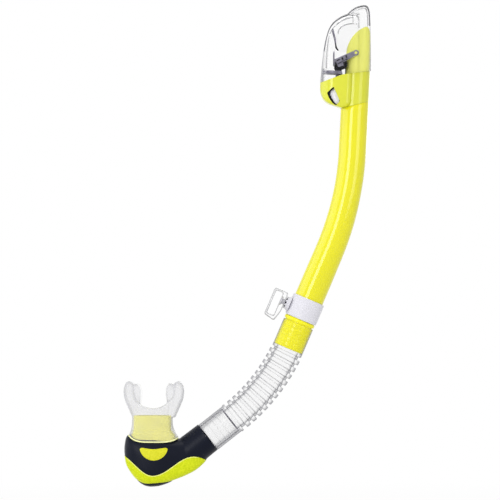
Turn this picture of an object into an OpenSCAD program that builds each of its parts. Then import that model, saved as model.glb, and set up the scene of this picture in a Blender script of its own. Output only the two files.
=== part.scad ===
// Dry-top snorkel: a bent barrel with a float-valve head, a strap keeper that slides and swivels,
// a soft ribbed hose, and a purge chamber with a silicone mouthpiece.
// Millimetres. The tube lies in the plane y = 0, +Z is up as it hangs and +X points away from the strap.
// The origin is the middle of the strap slot.

/* [Barrel] */
// Outside diameter of the barrel
barrel_d = 24.8; // [24.6:0.1:25.4]
// Bore of the barrel
barrel_bore = 21.6; // [21:0.1:22]
// Outside diameter of the thicker foot of the barrel, where the keeper slides
foot_d = 26.6; // [26:0.1:27]
// Lean of the foot of the barrel from upright, in degrees
foot_lean = 23.1; // [15:0.1:30]
// Angle through which the barrel bends, in degrees
barrel_bend = 20.25; // [10:0.25:25]
// Radius of the barrel's bend
bend_r = 272; // [200:1:350]
// Straight foot above the middle of the keeper ring
foot_len = 55; // [45:1:80]
// Length of the cone that thins the foot to the barrel
foot_cone = 9; // [5:1:15]
// Straight barrel above the bend
top_len = 41; // [30:1:80]
// Slope of the joint between barrel and head, in degrees
joint_slope = 17; // [5:1:20]

/* [Keeper] */
// Distance from the barrel's axis to the middle of the strap slot
strap_offset = 26.9; // [26:0.1:32]
// Height of the ring's middle above the middle of the slot
ring_rise = 5; // [3:0.5:7]
// Length of the keeper ring
ring_len = 19.8; // [16:0.2:24]
// Wall of the keeper ring
ring_wall = 1.2; // [0.9:0.1:1.8]
// Radius of the swivel stud
stud_r = 2.5; // [2:0.1:3]
// Radius of the stud's head
stud_head_r = 4; // [3.5:0.1:4.5]
// Thickness of the stud's head
stud_head_t = 1.3; // [1:0.1:1.5]
// Length of the strap slot along the barrel
slot_len = 22; // [18:0.5:26]
// Gap of the strap slot
slot_gap = 6.6; // [5:0.1:8]
// Depth of the clip along the strap
clip_depth = 16; // [12:0.5:22]
// Thin wall of the clip
clip_wall = 1.9; // [1.4:0.1:2.6]
// Thick wall of the clip, which holds the stud
clip_back = 4.5; // [4:0.1:5]

/* [Hose] */
// Diameter of the adapter's flange
flange_d = 28.6; // [28:0.1:31]
// Thickness of the adapter's flange
flange_t = 4; // [3:0.2:6]
// Straight hose axis below the middle of the keeper ring
hose_drop = 34.2; // [34:0.2:44]
// Radius of the hose's bend at rest
hose_bend_r = 166.5; // [140:0.5:220]
// Angle through which the hose bends at rest, in degrees
hose_bend = 28.7; // [28:0.1:34]
// Bore of the ribbed run
hose_bore = 20.4; // [19:0.1:21]
// Diameter between the ribs
hose_root_d = 23.8; // [23.2:0.1:25]
// Diameter over the ribs
rib_d = 29.7; // [28.6:0.1:32]
// Diameter of the smooth end cuffs
cuff_d = 28.4; // [28:0.1:30]
// Length of the lower cuff
cuff_len = 29.7; // [26:0.1:36]
// Number of ribs
rib_count = 11; // [6:1:11]
// Spacing of the ribs along the axis
rib_pitch = 6.6; // [6:0.1:6.6]
// Length of one rib along the axis
rib_len = 4; // [3:0.1:4.6]
// Smooth run between the start of the bend and the first rib
rib_start = 9.7; // [9:0.1:10]
// Diameter of the spigots inside the cuffs
spigot_d = 24.8; // [24:0.1:25.4]
// Bore through the spigots
spigot_bore = 20.4; // [19:0.1:21]
// Length of the adapter's spigot inside the upper cuff
spigot_len = 24; // [18:0.5:27]

/* [Chamber] */
// Diameter of the chamber's neck
neck_d = 28.6; // [28:0.1:31]
// Lean of the neck from the chamber's upright, in degrees
neck_lean = 51.8; // [45:0.1:58]
// Wall of the chamber
chamber_wall = 2; // [1.6:0.1:2.6]
// Distance from the neck's face to the mouthpiece's axis
mouth_back = 48.6; // [47:0.1:50]
// Radius of the half-moon inlays
inlay_r = 12.2; // [9:0.1:13]
// Radius of the purge opening
purge_r = 10; // [9:0.1:11]
// Travel of the purge valve
purge_travel = 1.5; // [0.8:0.1:1.6]

/* [Mouthpiece] */
// Width of the mouth spigot
mouth_w = 32.8; // [30:0.2:34]
// Depth of the mouth spigot
mouth_depth = 21; // [18:0.2:23]
// Wall of the mouth spigot
mouth_wall = 1.8; // [1.4:0.1:2.4]
// Height of the mouth spigot above the chamber's frame
mouth_h = 19.8; // [16:0.2:22]
// Wall of the silicone sleeve at its waist
sleeve_wall = 1.4; // [1:0.1:2]
// Width over the bite wings
wing_span = 54.2; // [50:0.2:60]
// Height of the wing tips above the chamber's frame
wing_top = 50.4; // [46:0.2:54]
// Depth of the wings
wing_depth = 19; // [14:0.5:24]

/* [Head] */
// Reach of the float bowl in front of the barrel's axis
bowl_reach = 32; // [30:0.2:36]
// Width of the float bowl across the plane of the tube
bowl_w = 32; // [31:0.2:36]
// Wall of bowl and cover
head_wall = 1.6; // [1.2:0.1:1.8]
// Outside diameter of the intake riser
riser_d = 21.3; // [21:0.1:21.5]
// Wall of the intake riser
riser_wall = 1.6; // [1.2:0.1:2]
// Outside diameter of the air duct
duct_d = 9.8; // [9:0.1:11]
// Wall of the air duct
duct_wall = 1.1; // [0.9:0.1:1.6]
// Distance from the barrel's axis to the duct's down-facing seat
seat_u = 16.4; // [16:0.1:17]
// Height of the lever's pivot above the head joint
pivot_w = 45.5; // [45.2:0.1:45.6]
// Rest angle of the lever below level, in degrees
lever_drop = 22; // [18:0.5:23]

/* [Fits] */
// Gap between pieces that move past one another
gap = 0.3; // [0.2:0.05:0.4]
// Radial clearance of pins and swivels
run_gap = 0.06; // [0.03:0.01:0.1]
// Gap between pieces that are fitted together
fit_gap = 0.05; // [0.02:0.01:0.1]

/* [Hidden] */
$fn = 64;
// Longer than any wall that a cut goes through
through = 200;
// Overshoot of a cut past the face that it opens
past = 1;
// Facets of one turn of a long bend
bend_fn = 360;
// A straight run laps over the bend that it joins by this length and this much radius
lap = 0.3;
lap_step = 0.04;

// Colours
yellow = [0.95, 0.93, 0.20];
lime = [0.85, 0.90, 0.15];
clear = [0.86, 0.88, 0.92, 0.45];
white = [0.92, 0.92, 0.96];
grey = [0.55, 0.54, 0.62];
black = [0.08, 0.08, 0.12];
rubber = [0.05, 0.05, 0.06];

// Derived places along the foot of the barrel, from the middle of the keeper ring
foot_bottom = -ring_len / 2 - gap;
flange_bottom = foot_bottom - flange_t;
ring_bore_r = foot_d / 2 + gap;
ring_r = ring_bore_r + ring_wall;

// Frames: every piece is drawn in the frame of what carries it
// The strap slot, with z along the foot of the barrel
module at_slot() rotate([0, foot_lean, 0]) children();

// On the axis of the foot, h above the middle of the keeper ring
module on_foot(h = 0) at_slot() translate([strap_offset, 0, ring_rise + h]) children();

// On the axis above the bend, w above the head joint
module on_head(w = 0)
    on_foot(foot_len) translate([-bend_r, 0, 0]) rotate([0, -barrel_bend, 0])
        translate([bend_r, 0, top_len + w]) children();

// On the hose's axis after a turn of its bend and a straight run
module on_hose(turn, run = 0)
    on_foot(-hose_drop) translate([-hose_bend_r, 0, 0]) rotate([0, turn, 0])
        translate([hose_bend_r, 0, -run]) children();

// The face of the chamber's neck, with z along the neck
module on_neck() on_hose(hose_bend, cuff_len) children();

// The chamber, upright, from the middle of the neck's face
module in_chamber() on_neck() rotate([0, -neck_lean, 0]) children();

// Shared shapes
// A straight tube
module tube(r, bore_r, h)
    difference() {
        cylinder(r = r, h = h);
        translate([0, 0, -past]) cylinder(r = bore_r, h = h + 2 * past);
    }

// A round rod that bends about an axis along y, to the left of its start at the origin
module bent_rod(bend, start, turn, r)
    translate([-bend, 0, 0]) rotate([90, 0, 0]) rotate([0, 0, start])
        rotate_extrude(angle = turn, $fn = bend_fn) translate([bend, 0]) circle(r, $fn = 64);

// A side outline in the plane of the tube, with the given width across it
module side(width = through) rotate([90, 0, 0]) linear_extrude(width, center = true) children();

// Points of a polygon whose corners [x, y, radius] are rounded
function unit(v) = v / norm(v);
function corner(before, at, after, r, steps = 6) =
    r == 0 ? [at] :
    let (a = unit(before - at), b = unit(after - at), half = acos(a * b) / 2,
         middle = at + unit(a + b) * r / sin(half), from = at + a * r / tan(half) - middle,
         turn = (a.x * b.y - a.y * b.x > 0 ? -1 : 1) * (180 - 2 * half))
    [for (i = [0:steps]) let (t = turn * i / steps)
        middle + [from.x * cos(t) - from.y * sin(t), from.x * sin(t) + from.y * cos(t)]];
function rounded(c) =
    let (n = len(c), p = [for (q = c) [q.x, q.y]])
    [for (i = [0:n - 1]) each corner(p[(i + n - 1) % n], p[i], p[(i + 1) % n], c[i][2])];

// A skin through rings of points that all have the same count, closed at both ends
module skin(rings) {
    n = len(rings[0]);
    m = len(rings);
    ends = [for (k = [0, m - 1]) [for (i = [0:n - 1]) k * n + i]];
    sides = [for (k = [0:m - 2], i = [0:n - 1], half = [0, 1])
        let (a = k * n + i, b = k * n + (i + 1) % n)
        half == 0 ? [a, b + n, b] : [a, a + n, b + n]];
    polyhedron([for (r = rings) each r],
               concat([ends[0], [for (i = [n - 1:-1:0]) ends[1][i]]], sides), convexity = 8);
}

// A point of a superellipse: round at power 2, squarer above
function squircle(t, w, h, power) =
    [w * sign(cos(t)) * pow(abs(cos(t)), 2 / power), h * sign(sin(t)) * pow(abs(sin(t)), 2 / power)];

// Smooth values between the rows of a short table, by a Catmull-Rom spline
function blend_row(a, b, c, d, t) =
    0.5 * (2 * b + (c - a) * t + (2 * a - 5 * b + 4 * c - d) * t * t + (3 * b - a - 3 * c + d) * t * t * t);
function smooth_rows(rows, steps) =
    let (n = len(rows))
    [for (i = [0:n - 2], k = [0:steps - 1])
        blend_row(rows[max(i - 1, 0)], rows[i], rows[i + 1], rows[min(i + 2, n - 1)], k / steps),
     rows[n - 1]];

// Barrel
barrel_r = barrel_d / 2;
bore_r = barrel_bore / 2;
// Height of the joint's plane on the axis
joint_w = -1;

// Everything above the sloped joint between barrel and head
module above_joint(lift = 0)
    on_head(joint_w) rotate([0, -joint_slope, 0])
        translate([-through / 2, -through / 2, lift]) cube(through);

module barrel()
    color(yellow) difference() {
        union() {
            on_foot(foot_bottom) cylinder(d = foot_d, h = foot_len - foot_cone - foot_bottom);
            on_foot(foot_len - foot_cone)
                cylinder(d1 = foot_d, d2 = barrel_d + 2 * lap_step, h = foot_cone + lap);
            on_foot(foot_len) bent_rod(bend_r, 0, barrel_bend, barrel_r);
            on_head(-top_len - lap) cylinder(r = barrel_r + lap_step, h = top_len + barrel_r);
        }
        on_foot(foot_bottom - past) cylinder(r = bore_r + lap_step, h = foot_len - foot_bottom + past + lap);
        on_foot(foot_len) bent_rod(bend_r, 0, barrel_bend, bore_r);
        on_head(-top_len - lap) cylinder(r = bore_r + lap_step, h = top_len + barrel_r + past);
        above_joint();
    }

// Keeper
// Places across the slot, towards the barrel
back_inner = slot_gap / 2;
back_outer = back_inner + clip_back;
stud_face = strap_offset - ring_r;
// Height of the stud's axis above the middle of the slot
stud_h = ring_rise - 1;
// Radius of the ring's boss and how far the stud's head sits inside the clip
boss_r = stud_r + 2;
boss_len = strap_offset - back_outer - gap - ring_bore_r + ring_wall;
head_seat = back_inner + stud_head_t + 2 * gap;

module keeper_ring()
    color(white) difference() {
        union() {
            on_foot(-ring_len / 2) cylinder(r = ring_r, h = ring_len);
            at_slot() translate([back_outer + gap, 0, stud_h]) rotate([0, 90, 0])
                cylinder(r = boss_r, h = boss_len);
        }
        on_foot(-ring_len / 2 - past) cylinder(r = ring_bore_r, h = ring_len + 2 * past);
        at_slot() translate([0, 0, stud_h]) rotate([0, 90, 0])
            cylinder(r = stud_r + fit_gap, h = stud_face + ring_wall / 2);
    }

module clip_stud()
    color(white) at_slot() translate([0, 0, stud_h]) rotate([0, 90, 0]) {
        translate([0, 0, back_inner + gap]) cylinder(r = stud_head_r, h = stud_head_t);
        translate([0, 0, back_inner + gap]) cylinder(r = stud_r, h = stud_face - back_inner - gap);
    }

// Corner radii of the clip
clip_corner = 2.5;
clip_heel = 4;
// The clip's toe reaches below its front wall, and its back is straight down to the heel
toe_drop = 2.3;
heel_h = -4.9;

module strap_clip()
    color(clear) at_slot() difference() {
        side(clip_depth) polygon(rounded([
            [-slot_gap / 2 - clip_wall, -slot_len / 2 - clip_wall, clip_corner],
            [back_inner + clip_wall, -slot_len / 2 - clip_wall - toe_drop, clip_corner],
            [back_outer, heel_h, clip_heel],
            [back_outer, slot_len / 2 + clip_wall, clip_corner],
            [-slot_gap / 2 - clip_wall, slot_len / 2 + clip_wall, clip_corner]]));
        side() polygon(rounded([
            [-slot_gap / 2, -slot_len / 2, clip_corner / 2], [slot_gap / 2, -slot_len / 2, clip_corner / 2],
            [slot_gap / 2, slot_len / 2, clip_corner / 2], [-slot_gap / 2, slot_len / 2, clip_corner / 2]]));
        translate([0, 0, stud_h]) rotate([0, 90, 0]) {
            cylinder(r = stud_r + run_gap, h = back_outer + past);
            cylinder(r = stud_head_r + gap, h = head_seat);
        }
    }

// Hose
spigot_r = spigot_d / 2;
spigot_bore_r = spigot_bore / 2;
hose_bore_r = hose_bore / 2;
// Length of the adapter's plug inside the barrel
plug_len = 16;
// Height of a barb and the length of its cone
barb_h = 0.5;
barb_len = 4;
// Barbs of the adapter and of the nipple: count, first place and spacing
adapter_barbs = 3;
adapter_barb_at = 2;
adapter_barb_step = 8;
nipple_barbs = 4;
nipple_barb_at = 1;
nipple_barb_step = 6;
// Depth of the lower cuff's socket for the nipple, less the solid end of the cuff
cuff_stop = 4;
socket_len = cuff_len - cuff_stop;
rib_step = rib_pitch / hose_bend_r * 180 / PI;
rib_turn = rib_len / hose_bend_r * 180 / PI;
first_rib = rib_start / hose_bend_r * 180 / PI;
cuff_r = cuff_d / 2;
// Turn of the bend that the upper cuff covers, and the bead at the start of the lower cuff
cuff_turn = first_rib - (rib_step - rib_turn);
bead_run = rib_len * 3 / 5;
spigot_bottom = flange_bottom - spigot_len;

module hose_adapter()
    color(yellow) difference() {
        union() {
            on_foot(foot_bottom) cylinder(r = bore_r - fit_gap, h = plug_len);
            on_foot(flange_bottom) cylinder(d = flange_d, h = flange_t);
            on_foot(spigot_bottom) cylinder(r = spigot_r - barb_h, h = spigot_len);
            for (i = [0:adapter_barbs - 1])
                on_foot(spigot_bottom + adapter_barb_at + i * adapter_barb_step)
                    cylinder(r1 = spigot_r - barb_h, r2 = spigot_r, h = barb_len);
        }
        on_foot(spigot_bottom - past)
            cylinder(r = spigot_bore_r, h = plug_len + flange_t + spigot_len + 2 * past);
    }

module hose()
    color(clear) difference() {
        union() {
            on_foot(-hose_drop - lap) cylinder(r = cuff_r, h = hose_drop + flange_bottom + lap);
            on_foot(-hose_drop) bent_rod(hose_bend_r, -cuff_turn, cuff_turn, cuff_r - lap_step);
            on_foot(-hose_drop) bent_rod(hose_bend_r, -hose_bend, hose_bend, hose_root_d / 2);
            for (i = [0:rib_count - 1])
                on_foot(-hose_drop)
                    bent_rod(hose_bend_r, -first_rib - i * rib_step - rib_turn, rib_turn, rib_d / 2);
            on_hose(hose_bend, cuff_len - gap) cylinder(r = cuff_r, h = cuff_len - gap + lap);
            on_hose(hose_bend, bead_run) cylinder(d = rib_d, h = bead_run);
        }
        on_foot(-hose_drop - lap) cylinder(r = hose_bore_r + lap_step, h = through);
        on_foot(spigot_bottom - gap) cylinder(r = spigot_r + fit_gap, h = through);
        on_foot(-hose_drop) bent_rod(hose_bend_r, -hose_bend, hose_bend, hose_bore_r);
        on_hose(hose_bend, cuff_len + past) cylinder(r = hose_bore_r + lap_step, h = cuff_len + past + lap);
        on_hose(hose_bend, cuff_len + past) cylinder(r = spigot_r + gap, h = socket_len + past);
    }

// Head, in its own frame: u along x, w along z, the plane of the tube at y = 0
// Corners of the rim between base and cover, in front, at the barrel and behind
hood_over = 0.8;
hood_r = barrel_r + hood_over;
rim_front = [-bowl_reach, 17.3];
rim_mid = [-barrel_r, 25.5];
rim_back = [hood_r, 30.2];
// Height of the rim at u, from the barrel backwards
function rim_w(u) = rim_mid.y + (u - rim_mid.x) * (rim_back.y - rim_mid.y) / (rim_back.x - rim_mid.x);
// Height of the joint's plane at u
function joint_at(u) = joint_w + u * tan(joint_slope);
// Lowest line of the bowl, from its chin to the barrel
chin_w = 1.2;
chin_r = 14;
bowl_back = -3.5;
bowl_front_r = 13;
bowl_back_r = 4;
cover_over = 0.3;
cover_back_r = 2;
// Corners of the cover's roof
brow = [-bowl_reach - cover_over, 38];
roof_front = [-27, 71];
roof_back = [-2, 83];
front_back = [3.3, 81.5];
rear_front = [-11.5, 79.2];
rear_rise = [-5.4, 86.4];
rear_top = [7.9, 89.8];
// Radii of those corners
brow_r = 8;
roof_front_r = 9;
roof_back_r = 3;
rear_front_r = 2;
rear_rise_r = 5;
rear_top_r = 5;

// Outline of the bowl or of the cover's front hood from above, with its wall taken off
module front_plan(back, back_r, inset = 0)
    linear_extrude(through, center = true) polygon(rounded([
        [brow.x + inset, inset - bowl_w / 2, bowl_front_r - inset],
        [back - inset, inset - bowl_w / 2, back_r - inset],
        [back - inset, bowl_w / 2 - inset, back_r - inset],
        [brow.x + inset, bowl_w / 2 - inset, bowl_front_r - inset]]));

// The room in the bowl, or a body that fits it with an inset
module bowl_room(inset, top) {
    chin_low = joint_at(-barrel_r);
    intersection() {
        side() polygon(rounded([
            [-bowl_reach + inset, top, 0], [-bowl_reach + inset, chin_w + inset, chin_r - inset],
            [-barrel_r - inset, chin_low + inset, 0], [-barrel_r - inset, top, 0]]));
        front_plan(bowl_back, bowl_back_r, inset);
    }
}

// A window in each side of the bowl, leaning forward and wider at its top
window_mid = [-19, 5.7];
window_len = 13.6;
window_top_w = 7.6;
window_low_w = 4.8;
window_lean = 36;
window_r = 1.8;

module drain_windows()
    side() translate(window_mid) rotate(window_lean) polygon(rounded([
        [-window_top_w / 2, window_len / 2, window_r], [window_top_w / 2, window_len / 2, window_r],
        [window_low_w / 2, -window_len / 2, window_r], [-window_low_w / 2, -window_len / 2, window_r]]));

module dry_top_base()
    color(yellow) on_head() difference() {
        intersection() {
            union() {
                front_plan(bowl_back, bowl_back_r);
                translate([0, 0, -through / 2]) cylinder(r = barrel_r, h = through);
            }
            side() polygon(rounded([
                [rim_front.x, rim_front.y, 0], [-bowl_reach, chin_w, chin_r],
                [-barrel_r, joint_at(-barrel_r), 0], [barrel_r, joint_at(barrel_r), 0],
                [rim_back.x, rim_back.y, 0], [rim_mid.x, rim_mid.y, 0]]));
        }
        bowl_room(head_wall, through);
        translate([0, 0, -through / 2]) cylinder(r = riser_d / 2 + fit_gap, h = through);
        drain_windows();
    }

// Roof of the riser: a cylinder across the tube
roof_axis = [17.4, 44.7];
roof_r = 27.3;
riser_r = riser_d / 2;
riser_bottom = -16;
// Sealing ring between riser and barrel: radius of its section, its height and the floor of its groove
ring_section = 0.42;
ring_w = -11;
groove_r = bore_r - 2 * ring_section - 2 * fit_gap;
groove_h = 2 * (ring_section + fit_gap);
pivot_u = -1.5;
pin_r = 1.2;
eye_r = 2.6;
arm_t = 1.6;
arm_out = bowl_w / 2 - head_wall - gap;
arm_in = arm_out - arm_t;
boss_out = arm_in - gap;
// How far the lever's bosses and pins run into the riser
boss_sink = 3;
pin_sink = 0.6;

// The cover's rear wall on its outside, at height w
function rear_at(w) = rim_back.x + (rear_top.x - rim_back.x) * (w - rim_back.y) / (rear_top.y - rim_back.y);

// A solid as the riser's outside, thinner by the inset: a tube under a roof that curves about an axis
// across it, kept clear of the cover's leaning rear wall
module riser_shape(inset) {
    low = riser_bottom - past;
    room = head_wall + gap + inset;
    intersection() {
        union() {
            intersection() {
                translate([0, 0, riser_bottom]) cylinder(r = riser_r - inset, h = through);
                translate([roof_axis.x, 0, roof_axis.y]) rotate([90, 0, 0])
                    cylinder(r = roof_r - inset, h = through, center = true, $fn = 128);
            }
            translate([0, 0, riser_bottom]) cylinder(r = riser_r - inset, h = roof_axis.y - riser_bottom);
        }
        side() polygon([[-through, low], [rear_at(low) - room, low],
                        [rear_at(rear_top.y) - room, rear_top.y], [-through, rear_top.y]]);
    }
}

module both_sides() for (s = [0, 1]) mirror([0, s, 0]) children();

module intake_riser()
    color(lime) on_head() difference() {
        union() {
            riser_shape(0);
            both_sides() translate([pivot_u, -boss_out, pivot_w]) rotate([-90, 0, 0])
                cylinder(r = eye_r, h = boss_out - riser_r + boss_sink);
        }
        riser_shape(riser_wall);
        translate([0, 0, riser_bottom - past]) cylinder(r = riser_r - riser_wall, h = 2 * past);
        translate([0, 0, ring_w]) rotate_extrude() translate([groove_r, -groove_h / 2])
            square([riser_r - groove_r + past, groove_h]);
        duct_end() cylinder(r = duct_r + lap_step + fit_gap, h = duct_run + roof_r / 4);
        both_sides() translate([pivot_u, -boss_out - past, pivot_w]) rotate([-90, 0, 0])
            cylinder(r = pin_r + fit_gap, h = boss_out - riser_r + boss_sink);
    }

module top_joint_ring()
    color(rubber) on_head(ring_w) rotate_extrude()
        translate([groove_r + fit_gap + ring_section, 0]) circle(ring_section, $fn = 24);

// Air duct: an upturned U from the down-facing seat to the riser's roof
duct_r = duct_d / 2;
duct_bend = 7;
// The lever's seal pad: how far its underside is above the pivot, and its thickness
pad_base = 0.2;
pad_t = 1;
seat_w = pivot_w + pad_base + pad_t + gap;
duct_top = 60;
duct_mid = [-seat_u + duct_bend, duct_top];
to_roof = roof_axis - duct_mid;
duct_turn = 180 - atan2(to_roof.y, to_roof.x) - acos(duct_bend / norm(to_roof));
duct_run = sqrt(to_roof * to_roof - duct_bend * duct_bend) - roof_r + riser_wall / 2;

// Start of the duct's last run, with z along it towards the riser
module duct_end()
    translate([duct_mid.x, 0, duct_mid.y]) rotate([0, duct_turn, 0]) translate([-duct_bend, 0, 0]) children();

module duct_path(r, over = 0) {
    translate([-seat_u, 0, seat_w - over]) cylinder(r = r + lap_step, h = duct_top - seat_w + over + lap);
    translate([duct_mid.x, 0, duct_mid.y]) rotate([90, 0, 0]) rotate([0, 0, 180 - duct_turn])
        rotate_extrude(angle = duct_turn, $fn = 96) translate([duct_bend, 0]) circle(r, $fn = 48);
    duct_end() translate([0, 0, -lap]) cylinder(r = r + lap_step, h = duct_run + over + lap);
}

module air_duct()
    color(clear) on_head() difference() {
        duct_path(duct_r);
        duct_path(duct_r - duct_wall, past);
    }

// Outline of the cover's rear hood from above: a half circle behind and flat in front
hood_steps = 24;
module rear_plan(r, front)
    linear_extrude(through, center = true) polygon(concat(
        [for (i = [0:hood_steps]) let (t = 180 * i / hood_steps - 90) [r * cos(t), r * sin(t)]],
        [[front, r], [front, -r]]));

// Cover: a wide front hood over the bowl and a narrower rear hood over the riser
module cover_body(inset = 0) {
    low = inset > 0 ? past : 0;
    intersection() {
        front_plan(front_back.x, cover_back_r, inset);
        side() polygon(rounded([
            [brow.x + inset, rim_front.y - 3 * low, 0], [brow.x + inset, brow.y, brow_r],
            [roof_front.x + inset, roof_front.y - inset, roof_front_r],
            [roof_back.x, roof_back.y - inset, roof_back_r],
            [front_back.x - inset, front_back.y - inset, roof_back_r / 2],
            [front_back.x - inset, rim_w(front_back.x) - low, 0], [rim_mid.x, rim_mid.y - low, 0]]));
    }
    intersection() {
        rear_plan(hood_r - inset, rear_front.x + inset);
        side() polygon(rounded([
            [rear_front.x + inset, rim_w(rear_front.x) - low, 0],
            [rear_front.x + inset, rear_front.y - inset, rear_front_r],
            [rear_rise.x, rear_rise.y - inset, rear_rise_r],
            [rear_top.x - inset, rear_top.y - inset, rear_top_r],
            [rear_at(rim_back.y - low) - inset, rim_back.y - low, 0]]));
    }
}

module top_cover()
    color(clear) on_head() difference() {
        cover_body();
        cover_body(head_wall);
    }

// Float, guide and lever
stem_u = 17;
stem_r = 1.6;
lever_t = 1.8;
pad_over = 0.4;
pad_r = duct_r + pad_over;
guide_lift = 0.2;
guide_w = rim_mid.y + guide_lift;
guide_t = 1.5;
// Height of the stem tip's centre under the resting lever and under the closed lever
under_rest = pivot_w - (stem_u + pivot_u) * tan(lever_drop) - (lever_t - pad_base) / cos(lever_drop);
tip_rest = under_rest - (stem_r + gap) / cos(lever_drop);
tip_closed = pivot_w - (lever_t - pad_base) - stem_r - gap;
float_travel = tip_closed - tip_rest;
float_top = guide_w - gap - float_travel;
stem_socket = 4;

module float_guide()
    color(grey) on_head(guide_w) difference() {
        intersection() {
            front_plan(bowl_back, bowl_back_r, head_wall + gap);
            translate([-through - barrel_r - gap, -through / 2, 0]) cube([through, through, guide_t]);
        }
        translate([-stem_u, 0, -past]) cylinder(r = stem_r + gap, h = guide_t + 2 * past);
    }

// Line under the resting lever at u, less a gap
function lever_under(u) =
    pivot_w - (-u + pivot_u) * tan(lever_drop) - (lever_t - pad_base + gap) / cos(lever_drop);
rest_front = -20;
rest_back = -12.7;
rest_foot = guide_w + guide_t;
rest_width = 19;
// The rest's foot is narrower than its block, which starts with a slope
foot_in = 1.6;
slope_low = 2.5;
slope_high = 3.5;

module lever_rest()
    color(rubber) on_head() difference() {
        side(rest_width) polygon([
            [rest_front + foot_in, rest_foot], [rest_back - foot_in, rest_foot],
            [rest_back - foot_in, rest_foot + slope_low], [rest_back, rest_foot + slope_high],
            [rest_back, lever_under(rest_back)], [rest_front, lever_under(rest_front)],
            [rest_front, rest_foot + slope_high], [rest_front + foot_in, rest_foot + slope_low]]);
        translate([-stem_u - through, -stem_r - 2 * gap, 0])
            cube([through + stem_r + 2 * gap, 2 * (stem_r + 2 * gap), through]);
    }

module on_lever() on_head() translate([pivot_u, 0, pivot_w]) rotate([0, -lever_drop, 0]) children();
pad_x = -seat_u - pivot_u;
plate_over = 0.8;
plate_front = pad_x - pad_r - plate_over;
plate_back = -riser_r - 2 * gap;
// The lever's side walls: start behind the plate's round corners and height over the plate
plate_corner = 4;
wall_h = 1;

module lever_pins()
    color(grey) on_head() both_sides() translate([pivot_u, -arm_out, pivot_w]) rotate([-90, 0, 0])
        cylinder(r = pin_r, h = arm_out - riser_r + pin_sink);

module valve_lever()
    color(grey) on_lever() difference() {
        union() {
            both_sides() {
                translate([0, -arm_out, 0]) rotate([-90, 0, 0]) cylinder(r = eye_r, h = arm_t);
                translate([plate_front + plate_corner, -arm_out, pad_base - lever_t])
                    cube([-plate_front - plate_corner, arm_t, lever_t + wall_h]);
            }
            translate([0, 0, pad_base - lever_t]) linear_extrude(lever_t) polygon(rounded([
                [plate_front, -arm_out, plate_corner], [plate_back, -arm_out, 0],
                [plate_back, arm_out, 0], [plate_front, arm_out, plate_corner]]));
        }
        rotate([90, 0, 0]) cylinder(r = pin_r + run_gap, h = through, center = true);
    }

// The pad is cut straight behind, where it would meet the riser as the lever hangs
pad_back = (pad_base * sin(lever_drop) - riser_r - gap - pivot_u) / cos(lever_drop);

module seal_pad()
    color(rubber) on_lever() intersection() {
        translate([pad_x, 0, pad_base]) cylinder(r = pad_r, h = pad_t);
        translate([pad_back - through, -through / 2, -through / 2]) cube(through);
    }

module float()
    color(white) on_head() difference() {
        bowl_room(head_wall + 2 * gap, float_top);
        translate([-stem_u, 0, float_top - stem_socket]) cylinder(r = stem_r + fit_gap, h = through);
    }

module float_stem()
    color(grey) on_head() {
        translate([-stem_u, 0, float_top - stem_socket])
            cylinder(r = stem_r, h = tip_rest - float_top + stem_socket);
        translate([-stem_u, 0, tip_rest]) sphere(stem_r);
    }

// Chamber
neck_r = neck_d / 2;
neck_depth = 30;
nipple_len = 15;
neck_bore_r = spigot_r + run_gap;
bead_h = 0.6;
bead_len = 2;
bead_at = 11;
mouth_x = -mouth_back;
// The purge's flat face in the chamber's bottom, the wall round its opening and the flare above that
purge_face = -39.9;
boss_wall = 1.5;
boss_h = 4;
boss_flare = 2.5;
cap_r = purge_r + boss_wall;

// The boat-shaped body: its length, half height and half width
hull_len = 75.3;
hull_half_h = 21.9;
hull_half_w = 17.6;
// Sections as shares of those: place from the neck, middle height, half height, half width
hull_shape = [
    [1, -0.49, 0.11, 0.14], [0.98, -0.525, 0.525, 0.51], [0.936, -0.6, 0.744, 0.716],
    [0.863, -0.776, 0.895, 0.864], [0.757, -0.904, 0.995, 0.966], [0.645, -0.93, 1, 1],
    [0.531, -0.913, 0.95, 0.977], [0.398, -0.88, 0.84, 0.91], [0.266, -0.8, 0.74, 0.83],
    [0.146, -0.74, 0.584, 0.705], [0.053, -0.767, 0.283, 0.455], [0.02, -0.82, 0.09, 0.17]];
chamber_rows = [for (r = hull_shape)
    [-r[0] * hull_len, r[1] * hull_half_h, r[2] * hull_half_h, r[3] * hull_half_w]];

// Roundness of the body above and below its middle, as powers of a superellipse
upper_power = 2.6;
lower_power = 3.8;
least_half = 0.6;
function chamber_ring(row, inset, count) =
    [for (i = [0:count - 1])
        let (t = 360 * i / count,
             p = squircle(t, max(row[3] - inset, least_half), max(row[2] - inset, least_half),
                          t < 180 ? upper_power : lower_power))
        [row[0], p.x, row[1] + p.y]];

module chamber_loft(inset, steps, count) {
    rows = smooth_rows(chamber_rows, steps);
    last = len(rows) - 1;
    skin([for (k = [0:last])
        let (r = rows[k], push = k == 0 ? inset : k == last ? -inset : 0)
        chamber_ring([r[0] + push, r[1], r[2], r[3]], inset, count)]);
}

// The wavy line between the black body and its trim
wave_trough = [mouth_x - 1, -33.6];
wave_left = [-75, -16];
wave_right = [-12.8, -16.6];
wave_start = -80;
wave_steps = 20;
function rise(t) = (1 - cos(180 * t)) / 2;
function wave(x) =
    let (end = x > wave_trough.x ? wave_right : wave_left,
         t = (x - wave_trough.x) / (end.x - wave_trough.x),
         share = x > wave_trough.x ? rise(t) : (t * t + rise(min(t, 1))) / 2)
    wave_trough.y + (end.y - wave_trough.y) * share;

module below_wave(shift)
    side() polygon(concat(
        [for (i = [0:wave_steps]) let (x = wave_start * (1 - i / wave_steps) + past) [x, wave(x) - shift]],
        [[past, -through], [wave_start + past, -through]]));

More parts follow.
